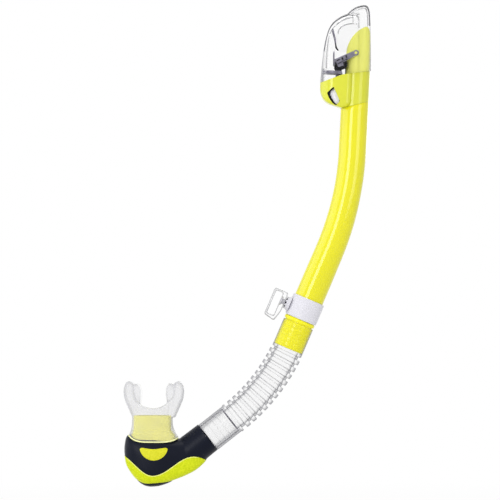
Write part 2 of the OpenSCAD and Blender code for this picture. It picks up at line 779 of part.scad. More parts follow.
// Outside of the whole chamber
module chamber_outside() {
    chamber_loft(0, 2, 32);
    rotate([0, neck_lean, 0]) translate([0, 0, -neck_depth]) cylinder(r = neck_r, h = neck_depth);
    translate([mouth_x, 0, purge_face]) cylinder(r1 = cap_r, r2 = cap_r + boss_flare, h = boss_h);
}

// Air space inside it
module chamber_space() {
    chamber_loft(chamber_wall, 1, 24);
    rotate([0, neck_lean, 0]) {
        translate([0, 0, -nipple_len - gap]) cylinder(r = neck_bore_r, h = nipple_len + gap + past);
        translate([0, 0, -bead_at - bead_len - gap])
            cylinder(r = neck_bore_r + bead_h + gap, h = bead_len + 2 * gap);
        translate([0, 0, -neck_depth]) cylinder(r = spigot_bore_r, h = neck_depth);
    }
    translate([mouth_x, 0, purge_face - through / 2]) cylinder(r = purge_r, h = through / 2 + boss_h);
    translate([mouth_x, 0, purge_face - through]) cylinder(r = cap_r + gap, h = through);
}

// Half-moon inlay, with its flat edge up, on one side of the chamber
inlay_z = -8.6;
inlay_half = inlay_r * 49 / 50;
module half_moon(grow)
    translate([mouth_x, 0, inlay_z]) rotate([90, 0, 0]) linear_extrude(through / 2) intersection() {
        circle(inlay_r + grow);
        translate([-inlay_half - grow, -2 * inlay_r]) square([2 * (inlay_half + grow), 2 * inlay_r + grow]);
    }

// An oval with round ends
module stadium(w, d) {
    square([w - d, d], center = true);
    for (s = [-1, 1]) translate([s * (w - d) / 2, 0]) circle(d = d);
}

module mouth_hole(grow, from, h)
    translate([mouth_x, 0, from]) linear_extrude(h) stadium(mouth_w + 2 * grow, mouth_depth + 2 * grow);

spigot_from = -6;

module chamber_body()
    color(black) in_chamber() difference() {
        chamber_outside();
        chamber_space();
        below_wave(0);
        both_sides() half_moon(fit_gap);
        mouth_hole(fit_gap, spigot_from, through);
    }

module chamber_trim()
    color(lime) in_chamber() {
        difference() {
            intersection() {
                chamber_outside();
                below_wave(fit_gap);
            }
            chamber_space();
        }
        translate([mouth_x, 0, purge_face]) tube(cap_r, purge_r, boss_h + lap);
    }

module inlay()
    intersection() {
        difference() {
            chamber_loft(0, 2, 32);
            chamber_loft(chamber_wall, 1, 24);
        }
        half_moon(0);
    }
module front_inlay() color(lime) in_chamber() inlay();
module rear_inlay() color(lime) in_chamber() mirror([0, 1, 0]) inlay();

module hose_nipple()
    color(white) on_neck() difference() {
        union() {
            translate([0, 0, -nipple_len]) cylinder(r = neck_bore_r - run_gap, h = nipple_len);
            translate([0, 0, -bead_at - bead_len]) cylinder(r = neck_bore_r + bead_h, h = bead_len);
            translate([0, 0, -past]) cylinder(r = spigot_r - barb_h, h = socket_len + past - gap);
            for (i = [0:nipple_barbs - 1])
                translate([0, 0, nipple_barb_at + i * nipple_barb_step])
                    cylinder(r1 = spigot_r, r2 = spigot_r - barb_h, h = barb_len);
        }
        translate([0, 0, -nipple_len - past]) cylinder(r = spigot_bore_r, h = through);
    }

// Mouthpiece
collar = 1;
collar_from = 3.6;
collar_h = 2.7;

module mouth_spigot()
    color(lime) in_chamber() difference() {
        union() {
            mouth_hole(0, spigot_from, mouth_h - spigot_from);
            mouth_hole(collar, collar_from, collar_h);
        }
        mouth_hole(-mouth_wall, spigot_from - past, through);
    }

// The silicone sleeve: how far its skirt and its rim stand out beyond the spigot
skirt_out = 4.6;
skirt_deep = 2.6;
rim_out = 3.4;
// Its sections: share of the spigot's height, and what is added to the spigot's half width and half depth
sleeve_shape = [
    [-0.18, skirt_out, skirt_deep], [0.025, skirt_out, skirt_deep], [0.23, 0.87 * skirt_out, skirt_deep],
    [0.455, 1.6 * sleeve_wall, 1.4 * sleeve_wall], [0.76, sleeve_wall, sleeve_wall],
    [1.01, 1.4 * sleeve_wall, sleeve_wall], [1.29, rim_out, sleeve_wall]];
sleeve_rows = [for (r = sleeve_shape) [r[0] * mouth_h, r[1], r[2]]];

sleeve_power = 3.2;
sleeve_count = 32;

module sleeve_skin()
    skin([for (r = smooth_rows(sleeve_rows, 2))
        [for (i = [0:sleeve_count - 1])
            let (t = 360 * i / sleeve_count,
                 p = squircle(t, mouth_w / 2 + r[1], mouth_depth / 2 + r[2], sleeve_power))
            [mouth_x + p.x, p.y, r[0]]]]);

// Corners of a bite wing: its root in the sleeve, its widest place and its two-humped tip
wing_root = 22;
wing_mid = 39;
root_in = 5.7;
tip_in = 3;
bite_out = 13.6;
bite_in = 10.2;
root_out = 11.6;
tip_drop = 1;

module wings()
    translate([mouth_x, 0, 0]) for (s = [0, 1]) mirror([s, 0, 0])
        side(wing_depth) polygon(rounded([
            [-wing_span / 2 + root_in, wing_root, 0], [-wing_span / 2, wing_mid, 6],
            [-wing_span / 2 + tip_in, wing_top, 4.5], [-bite_out, wing_top - tip_drop, 4],
            [-bite_in, wing_mid, 3], [-root_out, wing_root, 0]]));

module mouthpiece()
    color(clear) in_chamber() difference() {
        union() {
            sleeve_skin();
            wings();
        }
        mouth_hole(fit_gap, -through / 2, through / 2 + mouth_h + gap);
        mouth_hole(collar + fit_gap, collar_from - gap, collar_h + 2 * gap);
        mouth_hole(-mouth_wall, 0, through);
        chamber_loft(-fit_gap, 2, 32);
    }

// Purge valve under the chamber
seat_t = 2.4;
seat_rim = 1.5;
hub_r = 2.8;
spoke_w = 1.6;
stalk_r = 0.9;
valve_t = 0.9;
valve_over = 0.6;
valve_r = purge_r - seat_rim + valve_over;
// Length and step of the barb on the valve's stalk
stalk_barb = 1.6;
stalk_step = 0.6;
seat_lift = 1.7;
seat_bottom = purge_face + seat_lift;
cap_wall = 1.2;
cap_sag = 2.2;
cap_floor = seat_bottom - valve_t - purge_travel - 2 * gap;
purge_bottom = cap_floor - cap_wall - cap_sag / 2;
cap_steps = 5;
vent_from = 4.5;
vent_len = 4.8;
vent_w = 2.2;

module on_purge(z) in_chamber() translate([mouth_x, 0, z]) children();

module purge_seat()
    color(white) on_purge(seat_bottom) difference() {
        union() {
            tube(purge_r - fit_gap, purge_r - seat_rim, seat_t);
            cylinder(r = hub_r, h = seat_t);
            for (a = [0:60:120]) rotate([0, 0, a])
                translate([-purge_r + seat_rim / 2, -spoke_w / 2, 0])
                    cube([2 * purge_r - seat_rim, spoke_w, seat_t]);
        }
        translate([0, 0, -past]) cylinder(r = stalk_r + run_gap, h = seat_t + 2 * past);
    }

module purge_valve()
    color(clear) on_purge(seat_bottom - gap) {
        translate([0, 0, -valve_t]) cylinder(r = valve_r, h = valve_t);
        translate([0, 0, -valve_t]) cylinder(r = stalk_r, h = valve_t + seat_t + purge_travel + 3 * gap);
        translate([0, 0, seat_t + purge_travel + 2 * gap])
            cylinder(r1 = stalk_r + stalk_step, r2 = stalk_r, h = stalk_barb);
    }

module purge_cover()
    color(black) on_purge(0) difference() {
        rotate_extrude() polygon(concat(
            [for (i = [0:cap_steps]) let (t = i / cap_steps) [cap_r * t, purge_bottom + cap_sag * t * t]],
            [[cap_r, purge_face - fit_gap], [0, purge_face - fit_gap]]));
        translate([0, 0, cap_floor]) cylinder(r = purge_r - fit_gap, h = through);
        for (a = [0:45:315]) rotate([0, 0, a])
            translate([vent_from, -vent_w / 2, purge_bottom - past])
                cube([vent_len, vent_w, cap_wall + cap_sag + 2 * past]);
    }

barrel();
hose_adapter();
hose();
keeper_ring();
clip_stud();
strap_clip();
dry_top_base();
intake_riser();
top_joint_ring();
air_duct();
top_cover();
float_guide();
lever_rest();
lever_pins();
valve_lever();
seal_pad();
float();
float_stem();
hose_nipple();
chamber_body();
chamber_trim();
front_inlay();
rear_inlay();
mouth_spigot();
mouthpiece();
purge_seat();
purge_valve();
purge_cover();
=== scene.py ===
from contextlib import contextmanager
from math import copysign, cos, hypot, pi, radians, sin, sqrt, tan
import bpy
import bmesh
from mathutils import Matrix, Vector
from mathutils.bvhtree import BVHTree


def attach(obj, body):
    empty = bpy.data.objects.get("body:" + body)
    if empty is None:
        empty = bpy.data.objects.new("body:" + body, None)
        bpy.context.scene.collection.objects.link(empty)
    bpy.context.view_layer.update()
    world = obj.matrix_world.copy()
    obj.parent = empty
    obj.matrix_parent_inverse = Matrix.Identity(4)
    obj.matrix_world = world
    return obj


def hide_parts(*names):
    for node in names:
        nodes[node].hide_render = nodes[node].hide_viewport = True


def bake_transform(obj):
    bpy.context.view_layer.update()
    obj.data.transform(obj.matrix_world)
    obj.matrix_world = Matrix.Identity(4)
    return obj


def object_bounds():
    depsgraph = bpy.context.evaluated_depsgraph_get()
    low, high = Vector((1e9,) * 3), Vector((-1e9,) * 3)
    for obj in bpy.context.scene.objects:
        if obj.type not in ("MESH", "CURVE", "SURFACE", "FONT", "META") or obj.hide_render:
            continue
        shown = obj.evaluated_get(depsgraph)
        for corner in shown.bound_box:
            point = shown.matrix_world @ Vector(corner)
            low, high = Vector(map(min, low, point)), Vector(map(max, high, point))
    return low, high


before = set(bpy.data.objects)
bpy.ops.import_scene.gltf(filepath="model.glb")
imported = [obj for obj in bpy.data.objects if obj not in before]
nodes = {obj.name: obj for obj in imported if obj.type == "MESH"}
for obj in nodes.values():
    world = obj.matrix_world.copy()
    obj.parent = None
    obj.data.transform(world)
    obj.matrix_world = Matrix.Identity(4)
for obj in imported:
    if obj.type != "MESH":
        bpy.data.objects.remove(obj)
cad_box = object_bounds()
scene = bpy.context.scene
MM = 0.001
SIDES, UP = (-1, 1), Vector((0, 0, 1))


# Frames, as in the part's source, in millimetres

def turn_y(degrees):
    return Matrix.Rotation(radians(degrees), 4, "Y")


def move(x, y=0.0, z=0.0):
    return Matrix.Translation((x, y, z))


SLOT_TILT, NECK_TILT = 23.1, 51.8
FOOT_X, FOOT_Z = 26.9, 5.0
BEND_R, BEND, FOOT_LEN, TOP_LEN = 272.0, 20.25, 55.0, 41.0
HOSE_R, HOSE_BEND, HOSE_DROP, CUFF_LEN = 166.5, 28.7, 34.2, 29.7
FOOT_BOTTOM, FLANGE_BOTTOM = -10.2, -14.2
SLOT = turn_y(SLOT_TILT)


def on_foot(h):
    """The barrel's axis at height h of its straight foot."""
    return SLOT @ move(FOOT_X, 0, FOOT_Z + h)


def on_bend(degrees):
    """The barrel's axis at an angle of its bend."""
    return on_foot(FOOT_LEN) @ move(-BEND_R) @ turn_y(-degrees) @ move(BEND_R)


def on_head(w=0.0):
    """The head's frame, w further along its axis."""
    return on_bend(BEND) @ move(0, 0, TOP_LEN + w)


def on_hose(degrees, run=0.0):
    """The hose's axis at an angle of its bend, and run further on in a straight line."""
    return on_foot(-HOSE_DROP) @ move(-HOSE_R) @ turn_y(degrees) @ move(HOSE_R, 0, -run)


HEAD = on_head()
NECK = on_hose(HOSE_BEND, CUFF_LEN)
CHAMBER = NECK @ turn_y(-NECK_TILT)
MOUTH_X, SLEEVE_X = -48.6, -50.1


# Mesh helpers

# Distances in metres within which points are one, edges have no length and points lie on a plane
SAME_POINT, NO_LENGTH, ON_PLANE = 1e-7, 1e-6, 1e-5
# In millimetres: reach of a cutter, reach of a solid to keep, and step of a remeshed skin
FAR, KEPT_REACH, SKIN_STEP = 90.0, 40.0, 0.7


def add_object(name, data):
    obj = bpy.data.objects.new(name, data)
    scene.collection.objects.link(obj)
    return obj


@contextmanager
def editing(mesh):
    """Open a mesh for edits, and write it back."""
    bm = bmesh.new()
    bm.from_mesh(mesh)
    yield bm
    bm.to_mesh(mesh)
    bm.free()


def new_object(name, verts, faces, at):
    mesh = bpy.data.meshes.new(name)
    mesh.from_pydata([(at @ Vector(v)) * MM for v in verts], [], faces)
    with editing(mesh) as bm:
        bmesh.ops.remove_doubles(bm, verts=bm.verts, dist=SAME_POINT)
        bmesh.ops.recalc_face_normals(bm, faces=bm.faces)
    return add_object(name, mesh)


def bake(obj):
    """Apply the modifiers of obj."""
    depsgraph = bpy.context.evaluated_depsgraph_get()
    mesh = bpy.data.meshes.new_from_object(obj.evaluated_get(depsgraph))
    obj.modifiers.clear()
    old = obj.data
    obj.data = mesh
    bpy.data.meshes.remove(old)
    mesh.name = obj.name
    return obj


def modifier(obj, kind, **values):
    added = obj.modifiers.new(kind.lower(), kind)
    for key, value in values.items():
        setattr(added, key, value)


def combine(a, b, operation):
    modifier(a, "BOOLEAN", object=b, operation=operation, solver="EXACT")
    bake(a)
    bpy.data.objects.remove(b)
    return a


def join(name, objs):
    mesh = bpy.data.meshes.new(name)
    with editing(mesh) as bm:
        for obj in objs:
            bm.from_mesh(obj.data)
    for obj in objs:
        bpy.data.objects.remove(obj)
    return add_object(name, mesh)


def smooth(obj, degrees):
    obj.data.shade_smooth()
    obj.data.set_sharp_from_angle(angle=radians(degrees))
    return obj


def clean(obj, near, flat=0.0):
    """Merge points nearer than near millimetres, join faces that lie flat, and drop what has no area."""
    with editing(obj.data) as bm:
        bmesh.ops.remove_doubles(bm, verts=bm.verts, dist=near * MM)
        bmesh.ops.dissolve_degenerate(bm, edges=bm.edges, dist=NO_LENGTH)
        if flat:
            bmesh.ops.dissolve_limit(bm, angle_limit=radians(flat), verts=bm.verts, edges=bm.edges)
    return obj


def drop_folds(obj):
    """Delete the pairs of faces that lie back to back on the same corners after a cut."""
    with editing(obj.data) as bm:
        bmesh.ops.triangulate(bm, faces=bm.faces)
        alike = {}
        for face in bm.faces:
            alike.setdefault(frozenset(face.verts), []).append(face)
        folds = [face for same in alike.values() if len(same) > 1 for face in same]
        bmesh.ops.delete(bm, geom=folds, context="FACES")
    return obj


def soften(obj, width, degrees=35):
    """Round the sharp edges of obj by width millimetres."""
    clean(obj, 0.04, flat=0.6)
    modifier(obj, "BEVEL", width=width * MM, segments=3, limit_method="ANGLE",
             angle_limit=radians(degrees), miter_outer="MITER_ARC")
    return smooth(clean(bake(obj), 0.002), degrees)


def grow_together(obj, rounds):
    """Remesh overlapping forms as one skin, and smooth it."""
    modifier(obj, "REMESH", mode="VOXEL", voxel_size=SKIN_STEP * MM)
    modifier(obj, "SMOOTH", factor=0.5, iterations=rounds)
    return bake(obj)


def add_piece(obj, body, slot, material, *replaced):
    """Give a piece its material and body, and hide the nodes that it stands for; slot is not used."""
    obj.data.materials.clear()
    obj.data.materials.append(material)
    if body:
        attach(obj, body)
    if replaced:
        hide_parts(*replaced)


def rings_mesh(name, rings, loop=False, capped=False, at=Matrix()):
    """A skin through rings of points with equal counts."""
    n, m = len(rings[0]), len(rings)
    verts = [p for ring in rings for p in ring]
    faces = [tuple(range(n)), tuple(range((m - 1) * n, m * n))] if capped else []
    for k in range(m if loop else m - 1):
        a, b = k * n, (k + 1) % m * n
        faces += [(a + i, a + (i + 1) % n, b + (i + 1) % n, b + i) for i in range(n)]
    return new_object(name, verts, faces, at)


def turns(count):
    """Angles all the way round."""
    return [2 * pi * i / count for i in range(count)]


def ring(axis, r, count, slope=0.0):
    """A circle of radius r about an axis; slope tilts it."""
    return [axis @ Vector((x, y, slope * x)) for x, y in circle(r, count)]


def revolve(name, axis, profile, count=96):
    """A profile of [height, radius] turned about an axis."""
    return rings_mesh(name, [ring(axis @ move(0, 0, h), r, count) for h, r in profile], loop=True)


def corner(before, at, after, r, steps):
    if r == 0:
        return [at]
    a, b = (before - at).normalized(), (after - at).normalized()
    half = a.angle(b) / 2
    middle = at + (a + b).normalized() * (r / sin(half))
    start = at + a * (r / tan(half)) - middle
    turn = (-1 if a.x * b.y - a.y * b.x > 0 else 1) * (pi - 2 * half)
    out = []
    for i in range(steps + 1):
        t = turn * i / steps
        out.append(middle + Vector((start.x * cos(t) - start.y * sin(t),
                                    start.x * sin(t) + start.y * cos(t))))
    return out


def rounded(corners, steps=14):
    """An outline through corners [x, y, radius]."""
    points = [Vector(c[:2]) for c in corners]
    n = len(points)
    out = []
    for i, c in enumerate(corners):
        out += corner(points[i - 1], points[i], points[(i + 1) % n], c[2], steps)
    return out


def circle(r, count=96, x=0.0, y=0.0):
    return [(x + r * cos(t), y + r * sin(t)) for t in turns(count)]


def prism(name, outline, axis, low, high, at=HEAD):
    """An outline [x, z] along y, or [x, y] along z, as a closed solid."""
    ends = [[(p, e, q) if axis == "y" else (p, q, e) for p, q in outline] for e in (low, high)]
    return rings_mesh(name, ends, capped=True, at=at)


def side_prism(name, outline, side, inner, outer, at=HEAD):
    """A prism on one side of the middle plane."""
    return prism(name, outline, "y", *sorted((side * inner, side * outer)), at)


def cut(obj, outline, axis, low=-FAR, high=FAR, at=HEAD):
    """Take the prism of an outline away from obj."""
    return combine(obj, prism("cutter", outline, axis, low, high, at), "DIFFERENCE")


def keep(obj, outline, axis):
    """Keep only what lies in the prism of an outline."""
    return combine(obj, prism("cutter", outline, axis, -KEPT_REACH, KEPT_REACH), "INTERSECT")


def squircle(t, w, h, power):
    c, s = cos(t), sin(t)
    return (copysign(w * abs(c) ** (2 / power), c), copysign(h * abs(s) ** (2 / power), s))


def spline(rows, steps=5):
    """Smooth rows between the rows of a short table (Catmull-Rom)."""
    out = []
    n = len(rows)
    for i in range(n - 1):
        a, b, c, d = (rows[max(i - 1, 0)], rows[i], rows[i + 1], rows[min(i + 2, n - 1)])
        for k in range(steps):
            t = k / steps
            out.append([0.5 * (2 * q + (r - p) * t + (2 * p - 5 * q + 4 * r - s) * t * t
                               + (3 * q - p - 3 * r + s) * t ** 3) for p, q, r, s in zip(a, b, c, d)])
    return out + [list(rows[-1])]


def along(rows, x):
    """Linear reading of a table [x, value]."""
    for (x0, v0), (x1, v1) in zip(rows, rows[1:]):
        if x <= x1:
            return v0 + (v1 - v0) * max(0.0, (x - x0) / (x1 - x0))
    return rows[-1][1]


# Materials

def fill(tree, node, inputs):
    """Give each input of a node its value, or a link from another node's output."""
    for key, value in inputs.items():
        if isinstance(value, bpy.types.NodeSocket):
            tree.links.new(value, node.inputs[key])
        else:
            node.inputs[key].default_value = value


def add_node(tree, kind, output, inputs, **settings):
    """Add a node, and give back one of its outputs."""
    node = tree.nodes.new("ShaderNode" + kind)
    for key, value in settings.items():
        setattr(node, key, value)
    fill(tree, node, inputs)
    return node.outputs[output]


def start_material(name):
    mat = bpy.data.materials.new(name)
    mat.use_nodes = True
    return mat, mat.node_tree, mat.node_tree.nodes["Principled BSDF"]


def noise(tree, scale, detail):
    where = add_node(tree, "TexCoord", "Object", {})
    return add_node(tree, "TexNoise", "Fac", {"Scale": scale, "Detail": detail, "Vector": where})


def spread(tree, value, low, high, from_low=0.3, from_high=0.7, curve="LINEAR"):
    ranges = {"From Min": from_low, "From Max": from_high, "To Min": low, "To Max": high}
    return add_node(tree, "MapRange", "Result", {"Value": value, **ranges}, interpolation_type=curve)


def mixed(tree, value, a, b):
    return add_node(tree, "Mix", "Result", {"Factor": value, "A": (*a, 1), "B": (*b, 1)}, data_type="RGBA")


def blended(tree, share, first, second):
    return add_node(tree, "MixShader", "Shader", {"Fac": share, 1: first, 2: second})


def clamped(tree, operation, a, b):
    """a and b added or multiplied, held between 0 and 1."""
    return add_node(tree, "Math", "Value", {0: a, 1: b}, operation=operation, use_clamp=True)


def show(tree, shader):
    fill(tree, tree.nodes["Material Output"], {"Surface": shader})


def moulded(name, colour, second, rough, specular, coat=0.0, flow_scale=22.0):
    """Moulded plastic or rubber: slow flow marks in the colour, a fine grain in gloss and surface."""
    grain_scale, grain_depth = 900.0, 0.00004
    mat, tree, p = start_material(name)
    flow = spread(tree, noise(tree, flow_scale, 2.0), 0, 1)
    grain = noise(tree, grain_scale, 6.0)
    bump = add_node(tree, "Bump", "Normal", {"Strength": 0.25, "Distance": grain_depth, "Height": grain})
    fill(tree, p, {"Base Color": mixed(tree, flow, colour, second), "Roughness": spread(tree, grain, *rough),
                   "Specular IOR Level": specular, "Coat Weight": coat, "Coat Roughness": 0.12,
                   "Normal": bump})
    return mat


def see_through(name, colour, face, edge, low, cloud, gloss, rough=0.1):
    """Clear plastic or silicone: a thin film that thickens where it turns away, under a gloss; its dark
    colour there is painted shade for the dark edges of clear parts.
    """
    haze_scale, flow_scale, ior = 60.0, 140.0, 1.4
    mat, tree, p = start_material(name)
    facing = add_node(tree, "LayerWeight", "Facing", {"Blend": 0.5})
    # The film turns opaque at grazing edges, and with the dark colour it paints their shade.
    film = spread(tree, facing, face, edge, low, 1.0, "SMOOTHSTEP")
    haze = spread(tree, noise(tree, haze_scale, 3.0), -cloud, cloud)
    flow = spread(tree, noise(tree, flow_scale, 3.0), 0, 1)
    darker = [c * 0.9 for c in colour]
    fill(tree, p, {"Base Color": mixed(tree, flow, colour, darker), "Roughness": rough,
                   "Specular IOR Level": 0.2})
    clear = add_node(tree, "BsdfTransparent", "BSDF", {})
    body = blended(tree, clamped(tree, "ADD", film, haze), clear, p.outputs["BSDF"])
    shine = add_node(tree, "BsdfGlossy", "BSDF", {"Roughness": rough})
    fresnel = add_node(tree, "Fresnel", "Fac", {"IOR": ior})
    show(tree, blended(tree, clamped(tree, "MULTIPLY", fresnel, gloss), body, shine))
    return mat


# Name, two colours, range of roughness and specular level
BARREL = moulded("barrel_yellow", (0.80, 0.75, 0.006), (0.77, 0.73, 0.005), (0.2, 0.3), 0.0, coat=1.0)
# A brighter copy of the barrel's yellow: painted light for the adapter in the hose's shade.
LIT_ADAPTER_YELLOW = moulded("adapter_yellow_lit", (0.92, 0.865, 0.025), (0.89, 0.84, 0.02), (0.2, 0.3), 0.06, coat=0.3)
HEAD_YELLOW = moulded("head_yellow", (0.69, 0.705, 0.042), (0.64, 0.66, 0.036), (0.26, 0.38), 0.05, coat=0.7)
# A brighter copy of the head's yellow: painted light for the riser in the cover's shade; the lever pins use
# it too.
LIT_RISER_YELLOW = moulded("riser_yellow_lit", (0.90, 0.90, 0.20), (0.85, 0.86, 0.17), (0.34, 0.46), 0.2)
# A paler lime, the painted highlight along the trim's upper edge.
LIME_HIGHLIGHT = moulded("lime_painted_highlight", (0.88, 0.92, 0.25), (0.82, 0.87, 0.18), (0.35, 0.5), 0.3)
LIME = moulded("lime_trim", (0.70, 0.77, 0.016), (0.55, 0.65, 0.004), (0.4, 0.55), 0.12, flow_scale=520.0)
INLAY = moulded("inlay_lime", (0.72, 0.70, 0.03), (0.62, 0.62, 0.015), (0.4, 0.55), 0.15, flow_scale=520.0)
# A brighter, paler copy of the trim's lime: painted light for the spigot in the mouthpiece's shade.
LIT_SPIGOT_LIME = moulded("spigot_lime_lit", (0.97, 0.92, 0.22), (0.92, 0.90, 0.16), (0.4, 0.5), 0.2)
BLACK = moulded("black_plastic", (0.0015, 0.003, 0.010), (0.0025, 0.0045, 0.013), (0.34, 0.44), 0.14)
RUBBER = moulded("black_rubber", (0.004, 0.004, 0.006), (0.008, 0.008, 0.010), (0.5, 0.7), 0.08)
WHITE = moulded("white_plastic", (0.74, 0.735, 0.78), (0.69, 0.68, 0.74), (0.35, 0.5), 0.2)
FLOAT = moulded("float_white", (0.93, 0.93, 0.96), (0.78, 0.77, 0.88), (0.5, 0.7), 0.2)
GREY = moulded("grey_plastic", (0.16, 0.15, 0.20), (0.28, 0.27, 0.34), (0.35, 0.5), 0.25, flow_scale=160.0)
BEAD = moulded("bead_silicone", (0.96, 0.96, 0.50), (0.92, 0.93, 0.42), (0.3, 0.45), 0.3)

# Name, colour, film seen square on, film at its edge, where it starts to thicken, cloud, gloss and roughness;
# the dark colours paint shade along the edges.
CLEAR = see_through("clear_plastic", (0.30, 0.30, 0.34), 0.014, 0.85, 0.25, 0.005, 0.1)
# Painted shade: nearly black film strips laid along the cover's outline.
EDGE_SHADE = see_through("cover_edge_shade", (0.06, 0.06, 0.08), 0.58, 0.8, 0.0, 0.1, 0.1)
# Painted shade: dark film strips along folds inside the cover.
CREASE_SHADE = see_through("cover_crease_shade", (0.16, 0.16, 0.20), 0.36, 0.65, 0.0, 0.15, 0.1)
CLIP = see_through("clip_plastic", (0.45, 0.45, 0.48), 0.02, 0.8, 0.2, 0.012, 0.15)
# Painted shade: dark film strips along the clip's outline and slot.
CLIP_EDGE_SHADE = see_through("clip_edge_shade", (0.16, 0.16, 0.18), 0.28, 0.6, 0.0, 0.1, 0.1)
DUCT = see_through("duct_plastic", (0.26, 0.26, 0.29), 0.008, 0.85, 0.2, 0.005, 0.08)
HOSE = see_through("clear_silicone", (0.22, 0.22, 0.25), 0.024, 0.92, 0.3, 0.005, 0.06, 0.2)
MOUTH = see_through("mouth_silicone", (0.64, 0.64, 0.67), 0.24, 0.78, 0.0, 0.05, 0.05, 0.3)
# A paler, clearer copy of the mouthpiece silicone: its bore walls are painted lighter so that they show no
# edge shade.
MOUTH_BORE = see_through("mouth_bore", (0.86, 0.86, 0.88), 0.02, 0.06, 0.0, 0.01, 0.05, 0.3)
FROST = see_through("frosted_plastic", (0.5, 0.5, 0.54), 0.012, 0.6, 0.3, 0.012, 0.1, 0.3)


# Barrel: a bent tube whose foot swells towards the keeper

FOOT_TAPER = [(-11.0, 13.3), (30.0, 13.3), (52.0, 13.08), (68.0, 12.92), (88.0, 12.75), (117.0, 12.42),
              (400.0, 12.4)]
JOINT_SLOPE = tan(radians(17))
BORE, TIP_R = 10.8, 12.22
bend_len = radians(BEND) * BEND_R


def barrel_places():
    """Rows of [distance, axis, slope] along the barrel; its top end is slanted."""
    top = FOOT_LEN + bend_len
    steps = 36
    rows = [(h, on_foot(h), 0.0) for h in (FOOT_BOTTOM, -8, 0, 10, 20, 30, 40, 48)]
    rows += [(FOOT_LEN + bend_len * i / steps, on_bend(BEND * i / steps), 0.0) for i in range(steps + 1)]
    rows += [(top + h, on_bend(BEND) @ move(0, 0, h), 0.0) for h in (12, 26)]
    return rows + [(top + 32, on_head(-6), JOINT_SLOPE * 0.7), (top + 39.5, on_head(-1.45), JOINT_SLOPE)]


outer = [ring(axis, along(FOOT_TAPER, s), 96, slope) for s, axis, slope in barrel_places()]
outer.append(ring(on_head(-1.15), TIP_R, 96, JOINT_SLOPE))
inner = [ring(axis, BORE, 96, slope) for s, axis, slope in reversed(barrel_places())]
barrel = smooth(rings_mesh("barrel_tube", outer + inner, loop=True), 40)
add_piece(barrel, "barrel", "barrel_yellow", BARREL, "barrel")


# Hose adapter: flange, shallow rings and spigot, seen through the hose

ADAPTER_END, ADAPTER_BORE, BARREL_SEAT, BAND_PITCH = -38.2, 10.2, 10.6, 4.5


def adapter_profile():
    top = FOOT_BOTTOM
    rows = [(top, 13.5), (top - 0.3, 14.0), (top - 0.9, 14.25), (top - 2.3, 14.25), (top - 2.9, 14.0),
            (top - 3.0, 12.9), (top - 4.4, 12.9)]
    h = FLANGE_BOTTOM - 0.3
    while h > ADAPTER_END + BAND_PITCH:
        rows += [(h, 13.75), (h - 0.35, 13.88), (h - 3.6, 13.9), (h - 3.9, 13.85), (h - 4.1, 13.75)]
        h -= BAND_PITCH
    rows += [(h, 13.65), (h - 0.3, 13.8), (ADAPTER_END + 0.6, 13.8), (ADAPTER_END, 13.2)]
    return rows + [(ADAPTER_END, ADAPTER_BORE), (top + 12, ADAPTER_BORE), (top + 12, BARREL_SEAT),
                   (top, BARREL_SEAT)]


adapter = smooth(revolve("adapter_body", on_foot(0), adapter_profile()), 40)
# The adapter takes the brighter yellow, light painted in under the hose.
add_piece(adapter, "barrel", "barrel_yellow", LIT_ADAPTER_YELLOW, "hose_adapter")


# Hose: smooth cuffs with a ribbed run between them, on a bent axis

STRAIGHT = HOSE_DROP + FLANGE_BOTTOM
hose_arc = radians(HOSE_BEND) * HOSE_R
HOSE_LEN = STRAIGHT + hose_arc + CUFF_LEN - 0.3
ROOT_R, RIB_R, CUFF_R = 11.9, 14.85, 14.2
RIB_COUNT, RIB_PITCH, RIB_LEN, FIRST_RIB = 11, 6.6, 4.0, STRAIGHT + 9.7
HOSE_BORE, ADAPTER_SEAT, NIPPLE_SEAT = 10.3, 13.55, 12.7
# Groove of the bore under a rib: place from the rib's start, and depth
GROOVE = [(4.3, 0), (3.95, 0.8), (3.2, 0.75), (1.6, 0.35), (-0.8, 0)]


def hose_at(s):
    if s <= STRAIGHT:
        return on_foot(FLANGE_BOTTOM - s)
    if s <= STRAIGHT + hose_arc:
        return on_hose(HOSE_BEND * (s - STRAIGHT) / hose_arc)
    return on_hose(HOSE_BEND, s - STRAIGHT - hose_arc)


def step_up(s, low, high, sign=1):
    """A rounded step of the outline at s, from low to high."""
    rows = [(-0.5, low), (-0.2, low + 0.1), (-0.05, low + 0.35), (0.0, low + 0.7), (0.0, high - 0.8),
            (0.1, high - 0.4), (0.4, high - 0.1), (0.9, high)]
    return [(s + sign * d, r) for d, r in (rows if sign > 0 else reversed(rows))]


